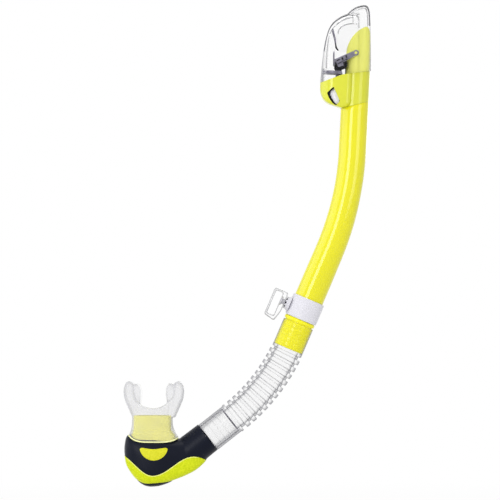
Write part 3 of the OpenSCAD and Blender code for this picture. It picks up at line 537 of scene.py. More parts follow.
def hose_profile():
    """Rows of [distance, radius]: down the outside and back up the inside."""
    first_gap = FIRST_RIB - (RIB_PITCH - RIB_LEN)
    low_cuff = STRAIGHT + hose_arc
    rib_starts = [FIRST_RIB + i * RIB_PITCH for i in range(RIB_COUNT)]
    rows = [(0.0, 13.85), (0.15, 14.05), (0.6, CUFF_R)]
    rows += [(s, CUFF_R) for s in (6, 12, 18, 23)] + step_up(first_gap, ROOT_R, CUFF_R, -1)
    for s in rib_starts:
        rows += step_up(s, ROOT_R, RIB_R) + [(s + RIB_LEN / 2, RIB_R)]
        rows += step_up(s + RIB_LEN, ROOT_R, RIB_R, -1)
    rows += step_up(low_cuff, ROOT_R, RIB_R)
    rows += [(low_cuff + 1.6, RIB_R), (low_cuff + 2.2, RIB_R - 0.2), (low_cuff + 2.4, CUFF_R)]
    rows += [(low_cuff + d, CUFF_R) for d in (8, 14, 20, 26)]
    rows += [(HOSE_LEN - 0.5, CUFF_R), (HOSE_LEN, CUFF_R - 0.5), (HOSE_LEN, NIPPLE_SEAT)]
    rows += [(low_cuff + d, NIPPLE_SEAT) for d in (22, 13, 4)]
    rows += [(low_cuff + 4, HOSE_BORE), (low_cuff, HOSE_BORE)]
    for s in reversed(rib_starts):
        rows += [(s + d, HOSE_BORE + deep) for d, deep in GROOVE]
    adapter_s = FLANGE_BOTTOM - ADAPTER_END + 0.6
    return rows + [(adapter_s, HOSE_BORE), (adapter_s, ADAPTER_SEAT), (12, ADAPTER_SEAT), (0, ADAPTER_SEAT)]


hose = smooth(rings_mesh("ribbed_hose", [ring(hose_at(s), r, 80) for s, r in hose_profile()], loop=True), 50)
add_piece(hose, None, "clear_silicone", HOSE, "hose")
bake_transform(hose)


# Nipple between hose and chamber: barbs and a dark end line

NIPPLE_FOOT, NIPPLE_END, NIPPLE_R, NIPPLE_BORE, BARB_PITCH = -14.8, CUFF_LEN - 4.3, 12.3, 10.3, 5.4


def nipple_profile():
    """Rows of [height above the neck's face, radius]."""
    rows = [(NIPPLE_FOOT, NIPPLE_R), (0.2, NIPPLE_R)]
    h = 1.0
    while h < CUFF_LEN - 6:
        rows += [(h, 12.05), (h + 0.35, 12.62), (h + 3.6, 12.1), (h + 4.6, 12.05)]
        h += BARB_PITCH
    return rows + [(NIPPLE_END - 0.3, NIPPLE_R), (NIPPLE_END, 12.1), (NIPPLE_END, NIPPLE_BORE),
                   (NIPPLE_FOOT, NIPPLE_BORE)]


nipple = smooth(revolve("barbed_nipple", NECK, nipple_profile(), 80), 40)
add_piece(nipple, "nipple", "frosted_plastic", FROST, "hose_nipple")
lip_rows = ((0.05, 10.6), (0.05, 12.4), (0.25, 12.55), (0.45, 12.4), (0.45, 10.6))
lip = smooth(revolve("nipple_lip", NECK, [(NIPPLE_END + h, r) for h, r in lip_rows], 80), 40)
add_piece(lip, "nipple", "grey_plastic", GREY)


# Keeper: ring with its boss, and the clear clip

RING_HALF, RING_IN, RING_OUT, TEETH = 9.9, 13.6, 14.85, 9
STUD = SLOT @ move(0, 0, 4) @ turn_y(90)
edge = [(RING_HALF, 13.8), (RING_HALF - 0.15, 14.5), (RING_HALF - 0.7, RING_OUT - 0.08),
        (RING_HALF - 2, RING_OUT)]
band = revolve("keeper_band", on_foot(0), [(-h, r) for h, r in edge] + [(0, RING_OUT + 0.1)] + edge[::-1]
               + [(RING_HALF - 0.3, RING_IN), (-RING_HALF + 0.3, RING_IN)])
boss = revolve("boss", STUD, [(9.4, 0.01), (9.4, 5.3), (9.7, 5.7), (10.6, 5.9), (11.6, 6.6), (12.4, 8.0),
                              (12.9, 9.2), (12.9, 0.01)], 64)
teeth = []
for i in range(TEETH):
    turn = STUD @ Matrix.Rotation(2 * pi * (i + 0.25) / TEETH, 4, "Z")
    teeth.append(prism("tooth", [(4.1, -0.85), (5.5, -0.85), (5.5, 0.85), (4.1, 0.85)], "z", 8.15, 9.6, turn))
keeper = smooth(join("keeper_band", [band, boss] + teeth), 35)
add_piece(keeper, "keeper", "white_plastic", WHITE, "keeper_ring")

# A black ring in the seam between boss and clip: painted shade for the swivel's gap, broken by the teeth.
gap_shade_rows = [(8.1, 2.6), (8.1, 4.9), (8.3, 5.1), (9.5, 5.1), (9.5, 2.6)]
gap_shade = smooth(revolve("swivel_gap_shade", STUD, gap_shade_rows, 48), 35)
add_piece(gap_shade, "keeper", "black_plastic", BLACK)

HALF_GAP, CLIP_BACK, SLOT_HALF, CLIP_WALL, CLIP_DEPTH = 3.3, 7.8, 11.0, 1.9, 16.0


def clip_outline(inset=0.0):
    tall, half, back = SLOT_HALF + CLIP_WALL - inset, HALF_GAP + CLIP_WALL - inset, CLIP_BACK - inset
    return rounded([(-half, -tall, 1.8), (half, -tall - 2.3 + inset * 0.3, 1.8), (back, -4.9, 3),
                    (back, tall, 1.8), (-half, tall, 1.8)])


def slot_outline(grow=0.0):
    half, tall = HALF_GAP + grow, SLOT_HALF + grow
    return rounded([(-half, -tall, 1.5), (half, -tall, 1.5), (half, tall, 1.5), (-half, tall, 1.5)])


clip = prism("strap_loop", clip_outline(), "y", -CLIP_DEPTH / 2, CLIP_DEPTH / 2, SLOT)
cut(clip, slot_outline(), "y", at=SLOT)
stud_room = [(0, 0.001), (0, 4.3), (5.2, 4.3), (5.2, 2.56), (12, 2.56), (12, 0.001)]
combine(clip, revolve("bore", STUD, stud_room, 48), "DIFFERENCE")
soften(clip, 0.8)
add_piece(clip, "clip", "clear_plastic", CLIP, "strap_clip")
# Dark strips along the clip's outline and slot: painted shade for its clear edges.
clip_shade_strips = []
for wide, narrow in ((clip_outline(0.02), clip_outline(0.75)), (slot_outline(0.7), slot_outline(0.02))):
    clip_shade_strips.append(cut(prism("bead", wide, "y", -0.35, 0.35, SLOT), narrow, "y", at=SLOT))
add_piece(join("clip_edge_shade_strips", clip_shade_strips), "clip", "clear_plastic", CLIP_EDGE_SHADE)


# Head: yellow base, black crescents in its windows, and the clear cover, with dark strips of painted shade
# along its outline and folds

REACH, BOWL_W, WALL, BARREL_R, HOOD_R, HEAD_BORE = 32.0, 32.0, 1.6, 12.4, 13.2, 10.75
BROW, BROW_R, CHIN_W, CHIN_R = -32.3, 13.0, 1.2, 14.0
RIM_FRONT, RIM_MID, RIM_REAR = 17.3, 25.5, 30.2
FLOOR_ROUND, FLOOR_STEPS, BOWL_TOP = 3.0, 8, 60.0
BOWL_BACK, BOWL_BACK_R, ROOM_BACK_R = -3.5, 6.0, 4.0


def joint_at(u):
    """Height of the slanted joint with the barrel."""
    return -1 + u * JOINT_SLOPE


def rim_w(u):
    """Height of the base's rear rim."""
    return RIM_MID + (u + BARREL_R) * (RIM_REAR - RIM_MID) / (HOOD_R + BARREL_R)


def front_plan(back, back_r, inset, front_inset=None):
    """Plan of the head's front part, with a round front."""
    deep = inset if front_inset is None else front_inset
    front, rear, half = BROW + deep, back - inset, BOWL_W / 2 - inset
    r, rear_r = max(BROW_R - deep, 3), max(back_r - inset, 0.4)
    return rounded([(front, -half, r), (rear, -half, rear_r), (rear, half, rear_r), (front, half, r)])


def room_plan(inset):
    """Plan of the room in the bowl."""
    return front_plan(BOWL_BACK, ROOM_BACK_R, inset)


# Floor line of the bowl in the side view, with the chin at its front
FLOOR_LINE = rounded([(-REACH, BOWL_TOP, 0), (-REACH, CHIN_W, CHIN_R), (-12.0, joint_at(-BARREL_R) + 0.25, 0),
                      (0, joint_at(0) + 1.4, 0)])[1:]


def bowl_ring(inset, up):
    """Outline of the bowl at a height over its floor, with points also on its straight sides."""
    plan = front_plan(BOWL_BACK, BOWL_BACK_R, inset)
    side = len(plan) // 4
    out = []
    for i, point in enumerate(plan):
        pieces = 8 if i % side == side - 1 else 1
        out += [point.lerp(plan[(i + 1) % len(plan)], k / pieces) for k in range(pieces)]
    return [(q.x, q.y, along(FLOOR_LINE, q.x) + up) for q in out]


def bowl_form():
    """The bowl's outside, taller than the bowl, with a rounded edge round its floor."""
    rings = [bowl_ring(inset, 0.0) for inset in (11.0, 9.0, 7.0, 5.0)]
    for k in range(FLOOR_STEPS + 1):
        a = pi / 2 * k / FLOOR_STEPS
        rings.append(bowl_ring(FLOOR_ROUND * (1 - sin(a)), FLOOR_ROUND * (1 - cos(a))))
    rings.append([(u, y, BOWL_TOP) for u, y, w in rings[-1]])
    return rings_mesh("dry_base", rings, capped=True, at=HEAD)


def window(shift_u=0.0, shift_w=0.0):
    """Outline of the drain window, or of the same window moved."""
    return rounded([(u + shift_u, w + shift_w, r) for u, w, r in (
        (-20.2, 14.2, 0.9), (-25.8, 8.3, 1.4), (-23.2, 2.9, 4.0), (-20.6, -0.4, 4.0), (-17.2, -2.6, 0.9),
        (-13.8, 1.3, 1.4))])


base = bowl_form()
keep(base, [(-REACH, RIM_FRONT), (-REACH, -60), (40, -60), (40, rim_w(40)), (-BARREL_R, RIM_MID)], "y")
tube = prism("tube", circle(BARREL_R), "z", -FAR, FAR)
keep(tube, [(-20, joint_at(-20)), (20, joint_at(20)), (20, rim_w(20)), (-20, rim_w(-20))], "y")
combine(base, tube, "UNION")
room = prism("room", room_plan(WALL), "z", -FAR, FAR)
keep(room, rounded([
    (-REACH + WALL, 70, 0), (-REACH + WALL, CHIN_W + WALL, CHIN_R - WALL),
    (-BARREL_R - WALL, joint_at(-BARREL_R) + WALL, 0), (-BARREL_R - WALL, 70, 0)]), "y")
combine(base, room, "DIFFERENCE")
cut(base, circle(HEAD_BORE), "z")
cut(base, window(), "y")
soften(base, 0.6)
modifier(base, "WEIGHTED_NORMAL", keep_sharp=True)
bake(base)
add_piece(base, "barrel", "head_yellow", HEAD_YELLOW, "dry_top_base")

# Black crescents inside each window's left and lower edges.
for side, name in zip(SIDES, ("front_window_crescent", "rear_window_crescent")):
    dark_crescent = side_prism(name, window(0.02, 0.01), side, 8.0, 17.0)
    cut(dark_crescent, window(2.3, 0.0), "y")
    keep(dark_crescent, front_plan(BOWL_BACK, BOWL_BACK_R, 0.15), "z")
    cut(dark_crescent, room_plan(WALL - 0.1), "z")
    add_piece(soften(dark_crescent, 0.2), "barrel", "black_rubber", RUBBER)


FRONT_EDGE = [(-32.0, 17.3), (-31.7, 25.5), (-31.2, 34.5), (-30.5, 46.0), (-29.2, 56.2), (-27.3, 64.4),
              (-24.6, 70.0), (-20.1, 74.7), (-14.9, 78.1), (-9.0, 80.4), (-3.0, 81.3), (0.2, 81.3)]
REAR_EDGE = [(-11.4, 79.2), (-8.8, 82.4), (-5.3, 85.4), (-1.8, 87.2), (2.0, 88.4), (5.0, 88.6), (7.4, 87.2),
             (8.9, 83.6), (9.7, 78.0), (10.4, 71.0)]


def inset_edge(points, inset, front_inset=0.0):
    """The edge's points moved inwards; front_inset is a deeper lip for its front."""
    fine = spline(points)
    out = []
    for k, p in enumerate(fine):
        way = Vector(fine[min(k + 1, len(fine) - 1)]) - Vector(fine[max(k - 1, 0)])
        normal = Vector((way.y, -way.x)).normalized()
        deeper = (front_inset - inset) * max(0.0, normal.x) ** 2 if front_inset else 0.0
        out.append(Vector(p) + normal * (inset + deeper))
    return out


def front_sides(inset, front_inset, low):
    edge = inset_edge(FRONT_EDGE, inset, front_inset)
    edge[0].y -= 3 * low
    return edge + [(0.6 - inset, 81.0 - inset), (3.0 - inset, rim_w(3.0) - low), (-BARREL_R, RIM_MID - low)]


def rear_sides(inset, low):
    edge = inset_edge(REAR_EDGE, inset)
    return [(-11.4 + inset, rim_w(-11.4) - low)] + edge + [(HOOD_R - inset, RIM_REAR - low)]


def rear_plan(r, front):
    angles = [radians(t) for t in range(-90, 91, 4)]
    return [(r * cos(t), r * sin(t)) for t in angles] + [(front, r), (front, -r)]


def cover_solid(inset, front_inset, rear_inset, low):
    """Both hoods of the cover as one solid, drawn in by the insets and longer by low at the foot."""
    front = prism("clear_cover", front_plan(3.3, 2, inset, front_inset), "z", -FAR, FAR)
    keep(front, front_sides(inset, front_inset, low), "y")
    rear = prism("rear", rear_plan(HOOD_R - rear_inset, -11.5 + inset), "z", -FAR, FAR)
    keep(rear, rear_sides(rear_inset, low), "y")
    return combine(front, rear, "UNION")


cover = cover_solid(0.0, 0.0, 0.0, 0.0)
combine(cover, cover_solid(WALL, 4.2, 2.3, 1.0), "DIFFERENCE")
cut(cover, room_plan(WALL), "z", 0, RIM_REAR)
soften(cover, 0.45, 30)
add_piece(cover, "barrel", "clear_plastic", CLEAR, "top_cover")


def strip(path, thickness):
    """Outline of a thin wall along a path of [u, w]."""
    return spline(path) + inset_edge(path, thickness)[::-1]


# Dark strips along the cover's outline, painted shade for its dark edges.
cover_shade_strips = [prism("edge_shade_strip", strip(path, 1.0), "y", -0.4, 0.4) for path in (FRONT_EDGE[3:], REAR_EDGE)]
add_piece(soften(join("cover_edge_shade_strips", cover_shade_strips), 0.1), "barrel", "clear_plastic", EDGE_SHADE)
# Dark strips along the folds of the cover, painted shade for the lines they show.
crease_shade_strips = [prism("crease_shade_strip", strip(path, 0.9), "y", -0.35, 0.35) for path in (
    [(-26.0, 62.0), (-24.6, 65.2), (-22.6, 68.2), (-19.0, 72.0), (-14.4, 75.2), (-9.0, 77.4), (-5.4, 78.2)],
    [(-27.9, 31.0), (-28.0, 38.3), (-27.7, 48.0), (-27.1, 55.0), (-26.35, 60.4)],
    [(-18.7, 62.5), (-17.9, 66.2), (-14.5, 69.9), (-9.3, 72.1), (-4.6, 72.8)],
    [(-7.6, 81.4), (-4.4, 84.2), (-1.2, 85.8), (2.2, 86.9), (4.7, 87.1), (6.2, 86.2), (7.4, 83.2),
     (8.2, 77.8), (8.9, 71.0)])]
add_piece(soften(join("cover_crease_shade_strips", crease_shade_strips), 0.1), "barrel", "clear_plastic", CREASE_SHADE)


# Intake riser: a tube with a curved roof and a boss for each lever pin

SEAT_W, PIVOT_U, PIVOT_W, DROP = 47.0, -1.5, 45.5, 22.0
ROOF_U, ROOF_W, ROOF_R = 17.4, 44.7, 27.3
RISER_MID, RISER_R, BOSS_R, BOSS_HALF = 0.75, 10.95, 2.3, 12.4
REAR_LINE = [(7.6, 69.4), (9.0, 68.3), (10.0, 66.3), (10.6, 63.0), (11.2, 54.0), (11.7, 42.0), (11.8, 10.0)]


def on_roof(degrees, off):
    t, r = radians(degrees), ROOF_R + off
    return Vector((ROOF_U - r * cos(t), ROOF_W + r * sin(t)))


def riser_solid(inset, low):
    tube = prism("riser_tube", circle(RISER_R - inset, x=RISER_MID), "z", low, FAR)
    roof = [on_roof(t, -inset) for t in range(-10, 67, 4)]
    line = [(u - inset, w - inset) for u, w in REAR_LINE]
    return keep(tube, [(-40, low - 10), (-40, roof[0].y)] + roof + line + [(line[-1][0], low - 10)], "y")


riser = riser_solid(0.0, 20)
combine(riser, prism("boss", circle(BOSS_R, 48, PIVOT_U, PIVOT_W), "y", -BOSS_HALF, BOSS_HALF), "UNION")
combine(riser, riser_solid(1.4, 19), "DIFFERENCE")
soften(riser, 0.4)
# The riser takes the brighter yellow, light painted in to cancel the shade under the cover.
add_piece(riser, "barrel", "head_yellow", LIT_RISER_YELLOW, "intake_riser")


# Inside the cover: duct, lever, rest and ribs

DUCT_EDGE = [(-20.9, SEAT_W), (-20.0, 53), (-19.5, 60), (-18.2, 66), (-14.6, 70), (-9.3, 72.2), (-4.4, 72.9),
             (-1.6, 72.6)]


def duct_outline(inset, over):
    """Side view of the duct, or of its inside, which runs over the open ends."""
    edge = inset_edge(DUCT_EDGE, inset)
    edge[0].y -= over
    edge[-1].x += over
    back = [on_roof(t, 0.3 - over * 0.5) for t in range(52, 4, -4)]
    top = [(back[0].x + over, edge[-1].y)] if over else []
    return edge + top + back + [(-11.2 - inset, SEAT_W - over)]


duct = prism("duct_hood", duct_outline(0.0, 0.0), "y", -5.6, 5.6)
cut(duct, duct_outline(1.1, 0.8), "y", -4.6, 4.6)
soften(duct, 0.5, 30)
add_piece(duct, "barrel", "clear_plastic", DUCT, "air_duct")

lip_outline = rounded([(-20.6, 53.6, 0.2), (-19.6, 53.4, 0.2), (-18.6, 49.6, 0.5), (-16.6, 47.05, 0.1),
                       (-18.4, 47.05, 0.1), (-20.2, 49.4, 0.6)], 4)
seat = prism("seat_lip", lip_outline, "y", -6.4, -5.6)
add_piece(soften(seat, 0.15), "barrel", "black_rubber", RUBBER)

LEVER = HEAD @ move(PIVOT_U, 0, PIVOT_W) @ turn_y(-DROP)
ARM_IN, ARM_OUT, EYE_R, PIN_HOLE_R = 12.7, 14.1, 2.6, 1.28
plate = prism("lever_arms", rounded([
    (-20.6, -ARM_OUT, 4), (-11.3, -ARM_OUT, 0.3), (-11.3, ARM_OUT, 0.3), (-20.6, ARM_OUT, 4)]),
    "z", -1.2, 0.2, LEVER)
arm_outline = rounded([(-19.4, -5.2, 0.8), (-10, -3.7, 6), (-2.0, -2.4, 0.4), (-2.0, 2.2, 0.4), (-9, 1.7, 6),
                       (-19.8, 0.8, 0.8)])
for side in SIDES:
    for outline in (arm_outline, circle(EYE_R, 48)):
        combine(plate, side_prism("arm", outline, side, ARM_IN, ARM_OUT, LEVER), "UNION")
cut(plate, circle(PIN_HOLE_R, 48), "y", at=LEVER)
soften(plate, 0.25)
add_piece(plate, "lever", "grey_plastic", GREY, "valve_lever")

# Thin black marks on the arms' outer faces: painted shade where the lever's slots look dark.
LEVER_SLOT_SHADES = ([(-18.6, -4.4), (-9.0, -2.9), (-9.0, -2.3), (-18.6, -3.7)],
               [(-18.9, -1.7), (-15.4, -1.2), (-15.4, -0.3), (-18.9, -0.6)],
               [(-14.0, -2.5), (-12.5, -2.3), (-12.5, 0.3), (-14.0, 0.1)],
               [(-9.8, -1.9), (-8.8, -1.8), (-8.8, 0.8), (-9.8, 0.7)])
marks = [side_prism("mark", outline, side, ARM_OUT - 0.4, ARM_OUT + 0.12, LEVER)
         for side in SIDES for outline in LEVER_SLOT_SHADES]
add_piece(soften(join("lever_slot_shade", marks), 0.1), "lever", "black_rubber", RUBBER)

cheek_outline = rounded([(-19.6, 35.9, 0.8), (-10.4, 39.6, 1.2), (-8.7, 36.4, 1.5), (-9.2, 32.0, 1.2),
                         (-12.6, 30.8, 1), (-14.4, 28.3, 1.2), (-17.6, 27.5, 1.2), (-19.4, 29.6, 1),
                         (-18.4, 31.2, 0.6), (-20.2, 33.2, 0.8)], 4)
face_outline = rounded([(-18.0, 34.7, 0.6), (-12.6, 36.9, 0.8), (-12.0, 33.6, 0.8), (-16.8, 31.9, 0.6)], 4)
cheeks = [side_prism("cheek", cheek_outline, side, 9.3, 12.3) for side in SIDES]
add_piece(soften(join("rest_cheeks", cheeks), 0.3), "barrel", "black_rubber", RUBBER)
rest_faces = [side_prism("face", face_outline, side, 12.1, 12.5) for side in SIDES]
add_piece(soften(join("rest_faces", rest_faces), 0.12), "barrel", "grey_plastic", GREY)

rim = prism("guide_rim", room_plan(1.95), "z", 27.15, 28.6)
cut(rim, room_plan(3.2), "z")
keep(rim, [(-40, -40), (-13.1, -40), (-13.1, 40), (-40, 40)], "z")
add_piece(soften(rim, 0.25), "barrel", "grey_plastic", GREY)

bent_wall = [(-12.5, 78.6), (-8, 79.7), (-4, 80.0), (-1.4, 79.3), (-0.2, 77.4), (0.2, 74), (0.8, 68.4)]
flat_wall = [(-6.3, 79.6), (-5.3, 79.6), (-4.6, 72.9), (-5.6, 72.9)]
walls = [prism("wall", outline, "y", -half, half)
         for outline, half in ((strip(bent_wall, 0.8), 12.2), (flat_wall, 9))]
add_piece(soften(join("hood_walls", walls), 0.3, 25), "barrel", "clear_plastic", DUCT)

RIB_OUTER = 14.7
upper_rib = [(-23.9, 65.6), (-22.7, 65.6), (-20.2, 57.0), (-19.6, 53.0), (-20.3, 53.0), (-21.1, 57.0)]
lower_rib = [(-21.6, 46.0), (-20.8, 46.0), (-20.0, 33.6), (-20.9, 33.6)]
ribs = [side_prism("rib", outline, side, inner, RIB_OUTER)
        for side in SIDES for inner, outline in ((12.6, upper_rib), (14.27, lower_rib))]
add_piece(soften(join("cover_ribs", ribs), 0.15), "barrel", "grey_plastic", GREY)


# Chamber: one smooth form, split along its wavy line into black body and trim

HULL_LEN, HULL_H, HULL_W = 75.3, 21.9, 17.6
# Rows of [place along the hull, height of the middle, half height, half width], as shares of its sizes
HULL = [
    (1, -0.49, 0.11, 0.14), (0.98, -0.525, 0.525, 0.51), (0.936, -0.6, 0.744, 0.716),
    (0.863, -0.776, 0.895, 0.864), (0.757, -0.904, 0.995, 0.966), (0.645, -0.93, 1, 1),
    (0.531, -0.913, 0.95, 0.977), (0.398, -0.88, 0.84, 0.91), (0.266, -0.80, 0.74, 0.83),
    (0.146, -0.74, 0.584, 0.705), (0.053, -0.767, 0.283, 0.455), (0.02, -0.82, 0.09, 0.17)]
LEAST_HALF, SHELL, SPLIT_GAP = 0.6, 1.6, 0.12
MOUTH_HOLE_R, PURGE_HOLE_R, PURGE_HOLE_TOP = 9, 10.6, -34


def wave(x):
    """Height of the line between body and trim."""
    trough_x, trough, left_x, left, right_x, right = MOUTH_X - 1, -33.6, -75.0, -16.0, -12.8, -16.6
    if x > trough_x:
        t = (x - trough_x) / (right_x - trough_x)
        return trough + (right - trough) * (1 - cos(pi * t)) / 2
    t = (x - trough_x) / (left_x - trough_x)
    return trough + (left - trough) * (t * t + (1 - cos(pi * min(t, 1))) / 2) / 2


def hull_ring(row):
    """A cross-section of the hull, fuller below than above."""
    half_w, half_h = max(row[3] * HULL_W, LEAST_HALF), max(row[2] * HULL_H, LEAST_HALF)
    points = [squircle(t, half_w, half_h, 2.6 if t < pi else 3.8) for t in turns(72)]
    return [(-row[0] * HULL_LEN, y, row[1] * HULL_H + z) for y, z in points]


hull = rings_mesh("hull", [hull_ring(row) for row in spline(HULL, 4)], capped=True, at=CHAMBER)
neck = revolve("neck", NECK @ move(-0.4), [
    (-30, 0.01), (-30, 12.6), (-26, 14.6), (-18, 14.8), (-8, 14.55), (0, 14.4), (8, 14.4), (8, 0.01)])
hull = grow_together(join("hull", [hull, neck]), 12)
to_chamber = CHAMBER.inverted() @ Matrix.Scale(1 / MM, 4)
from_chamber = Matrix.Scale(MM, 4) @ CHAMBER
skin_tree = BVHTree.FromObject(hull, bpy.context.evaluated_depsgraph_get())
NECK_WAY = turn_y(NECK_TILT).to_3x3() @ UP


def slice_off(bm, point, way):
    """Cut bm at a plane and drop what lies beyond it."""
    bmesh.ops.bisect_plane(bm, geom=bm.verts[:] + bm.edges[:] + bm.faces[:], dist=ON_PLANE,
                           plane_co=point, plane_no=way, clear_outer=True)


def in_mouth(spot):
    return (spot - Vector((MOUTH_X, 0, 0))).length < MOUTH_HOLE_R


def in_purge(spot):
    return hypot(spot.x - MOUTH_X, spot.y) < PURGE_HOLE_R and spot.z < PURGE_HOLE_TOP


def chamber_half(name, up, in_hole, lift):
    """Cut the chamber's form at the neck's face and along the wave, lift its skin, and give it a wall.

    up is 1 for the part above the wave and -1 for the part below it."""
    mesh = hull.data.copy()
    with editing(mesh) as bm:
        bm.transform(to_chamber)
        slice_off(bm, (0, 0, 0), NECK_WAY)
        for v in bm.verts:
            v.co.z -= wave(v.co.x)
        slice_off(bm, (0, 0, up * SPLIT_GAP), (0, 0, -up))
        for v in bm.verts:
            v.co.z += wave(v.co.x)
        hole = [face for face in bm.faces if in_hole(face.calc_center_median())]
        bmesh.ops.delete(bm, geom=hole, context="FACES")
        bm.normal_update()
        for v in bm.verts:
            v.co += v.normal * lift
        bm.transform(from_chamber)
    obj = add_object(name, mesh)
    modifier(obj, "SOLIDIFY", thickness=SHELL * MM, offset=-1.0)
    return smooth(bake(obj), 40)


black_shell = chamber_half("black_shell", 1, in_mouth, 0.0)
add_piece(black_shell, "chamber", "black_plastic", BLACK, "chamber_body")
trim_shell = chamber_half("trim_shell", -1, in_purge, 0.15)
add_piece(trim_shell, "chamber", "lime_trim", LIME, "chamber_trim")
bpy.data.objects.remove(hull)


def cast(start, way):
    """Where a ray meets the chamber's skin, and the skin's normal there."""
    direction = (from_chamber.to_3x3() @ Vector(way)).normalized()
    hit, normal = skin_tree.ray_cast(from_chamber @ Vector(start), direction)[:2]
    return to_chamber @ hit, (CHAMBER.inverted().to_3x3() @ normal).normalized()


def on_skin(x, z, side):
    return cast((x, side * 60, z), (0, -side, 0))


def section(centre, across, up, r):
    """Points round the section of a bead."""
    return [centre + (across * cos(t) + up * sin(t)) * r for t in turns(10)]


def edge_bead(name, side):
    """A thin round bead on the skin, along the trim's upper edge, with thinner ends; its paler lime is a
    painted highlight on that edge.
    """
    start_x, span, last, bead_r = -73.6, 66.0, 90, 0.42
    xs = [start_x + span * k / last for k in range(last + 1)]
    spots = [on_skin(x, wave(x) - 0.45, side) for x in xs]
    rings = []
    for k, (place, normal) in enumerate(spots):
        way = (spots[min(k + 1, last)][0] - spots[max(k - 1, 0)][0]).normalized()
        up = normal.cross(way).normalized()
        r = bead_r * min(1.0, 0.15 + min(k, last - k) / 5)
        rings.append(section(place + normal * 0.08, normal, up, r))
    return smooth(rings_mesh(name, rings, capped=True, at=CHAMBER), 60)


for side, name in zip(SIDES, ("front_trim_bead", "rear_trim_bead")):
    add_piece(edge_bead(name, side), "chamber", "lime_trim", LIME_HIGHLIGHT)


def half_moon(name, side):
    """A pillowed half-moon that sits on the chamber's side."""
    r, deep, top_z, levels = 12.7, 11.2, -8.7, 8
    angles = [radians(t) for t in range(194, 347, 4)]
    arc = [(r * cos(t), -deep * abs(sin(t)) ** 1.15, 0) for t in angles]
    outline = rounded([(-r, 0, 1.5)] + arc + [(r, 0, 1.5)], 5)
    middle = Vector((0, -4.6))
    rings = []
    for k in range(levels + 1):
        share = (k - 1) / (levels - 1)
        lift = -0.5 if k == 0 else 0.12 + 0.38 * sqrt(1 - (1 - share) ** 2)
        rim = 1.0 if k == 0 else 1 - share * 0.97
        row = []
        for p in outline:
            q = middle + (p - middle) * rim
            place, normal = on_skin(MOUTH_X + q.x, top_z + q.y, side)
            row.append(place + normal * lift)
        rings.append(row)
    return smooth(rings_mesh(name, rings, capped=True, at=CHAMBER), 60)


for side, name, node in ((-1, "front_half_moon", "front_inlay"), (1, "rear_half_moon", "rear_inlay")):
    add_piece(half_moon(name, side), "chamber", "lime_trim", INLAY, node)


def purge_dish():
    """A lens-shaped black dish under the trim, with eight vents round its middle."""
    half_x, half_y, dome, wall, rim_wall, mid_x = 16.4, 12.6, 1.75, 1.25, 0.35, MOUTH_X + 0.6
    count, rings = 96, 18
    top, low = [], []
    for k in range(rings + 1):
        share = k / rings
        for t in turns(count):
            x, y = mid_x + half_x * share * cos(t), half_y * share * sin(t)
            skin = cast((x, y, -90), (0, 0, 1))[0].z
            z = skin - 0.1 - dome * sqrt(max(0.0, 1 - share ** 2.2))
            low.append((x, y, z))
            top.append((x, y, z + (wall if share < 0.96 else rim_wall)))
    size = len(low)
    faces = []

    def vent(k, i):
        return 7 <= k < 13 and i % 12 in (5, 6, 7)

    for k in range(rings):
        for i in range(count):
            j = (i + 1) % count
            a, b, c, d = k * count + i, k * count + j, (k + 1) * count + j, (k + 1) * count + i
            if not vent(k, i):
                faces += [(a, b, c, d), (a + size, d + size, c + size, b + size)]
                for near, p, q in ((vent(k, j), b, c), (vent(k, i - 1), d, a),
                                   (vent(k + 1, i), c, d), (vent(k - 1, i), a, b)):
                    if near:
                        faces.append((p, q, q + size, p + size))
    last = rings * count
    for i in range(count):
        a, b = last + i, last + (i + 1) % count
        faces.append((a, b, b + size, a + size))
    return smooth(new_object("purge_dish", low + top, faces, CHAMBER), 50)


add_piece(purge_dish(), "chamber", "black_plastic", BLACK, "purge_cover")


# Purge valve: a thin silicone umbrella on a barbed stalk

VALVE_TOP = -38.5
valve = revolve("purge_umbrella", CHAMBER @ move(MOUTH_X, 0, VALVE_TOP), [
    (-0.85, 0.01), (-0.85, 3.0), (-0.75, 6.0), (-0.5, 8.4), (-0.38, 8.9), (-0.25, 9.05), (-0.1, 8.9),
    (-0.02, 8.2), (0, 6.0), (0, 1.3), (0.1, 1.0), (0.4, 0.85), (4.6, 0.85), (4.6, 1.45), (4.9, 1.5),
    (5.9, 0.95), (6.1, 0.7), (6.1, 0.01)], 64)
add_piece(smooth(valve, 40), "purge", "mouth_silicone", MOUTH, "purge_valve")


# Mouthpiece: sleeve, flange lobes and bite tabs grown together

# Rows of [x, z, half width, half depth]
SLEEVE = [(0.9, -3.9, 21.8, 14.5), (0.9, -2.2, 22.3, 14.4), (0.8, 0.5, 22.2, 13.9), (0.5, 3, 21.2, 13.4),
          (0.2, 7, 19.5, 12.8), (0, 11, 18.6, 12.4), (0, 15.3, 18.2, 12.2), (0, 19, 18.4, 12.2),
          (0.2, 23, 19.3, 12.2), (0.3, 25.4, 20.0, 12.0), (0.3, 25.6, 13, 8), (0.3, 25.6, 6, 4),
          (0.3, 25.6, 0.4, 0.3)]
LOBE = [(15.2, 19, 3.8, 10), (17.0, 25, 4.5, 11), (18.8, 30.5, 5.1, 11.5), (20.6, 36, 5.4, 11.3),
        (21.5, 41, 5.3, 10.5), (21.4, 45.5, 4.8, 9.0), (21.2, 48.8, 3.6, 6.4), (21.0, 50.5, 1.6, 2.6)]
BITE = [(15.0, 23, 3.4, 8), (14.6, 29, 3.6, 7.8), (14.2, 34, 3.7, 7.5), (13.8, 39, 4.2, 7.4),
        (13.8, 43.5, 3.9, 7), (14.0, 46.8, 3.0, 5.4), (14.1, 48.8, 1.4, 2.4)]
SKIRT_X = 0.9


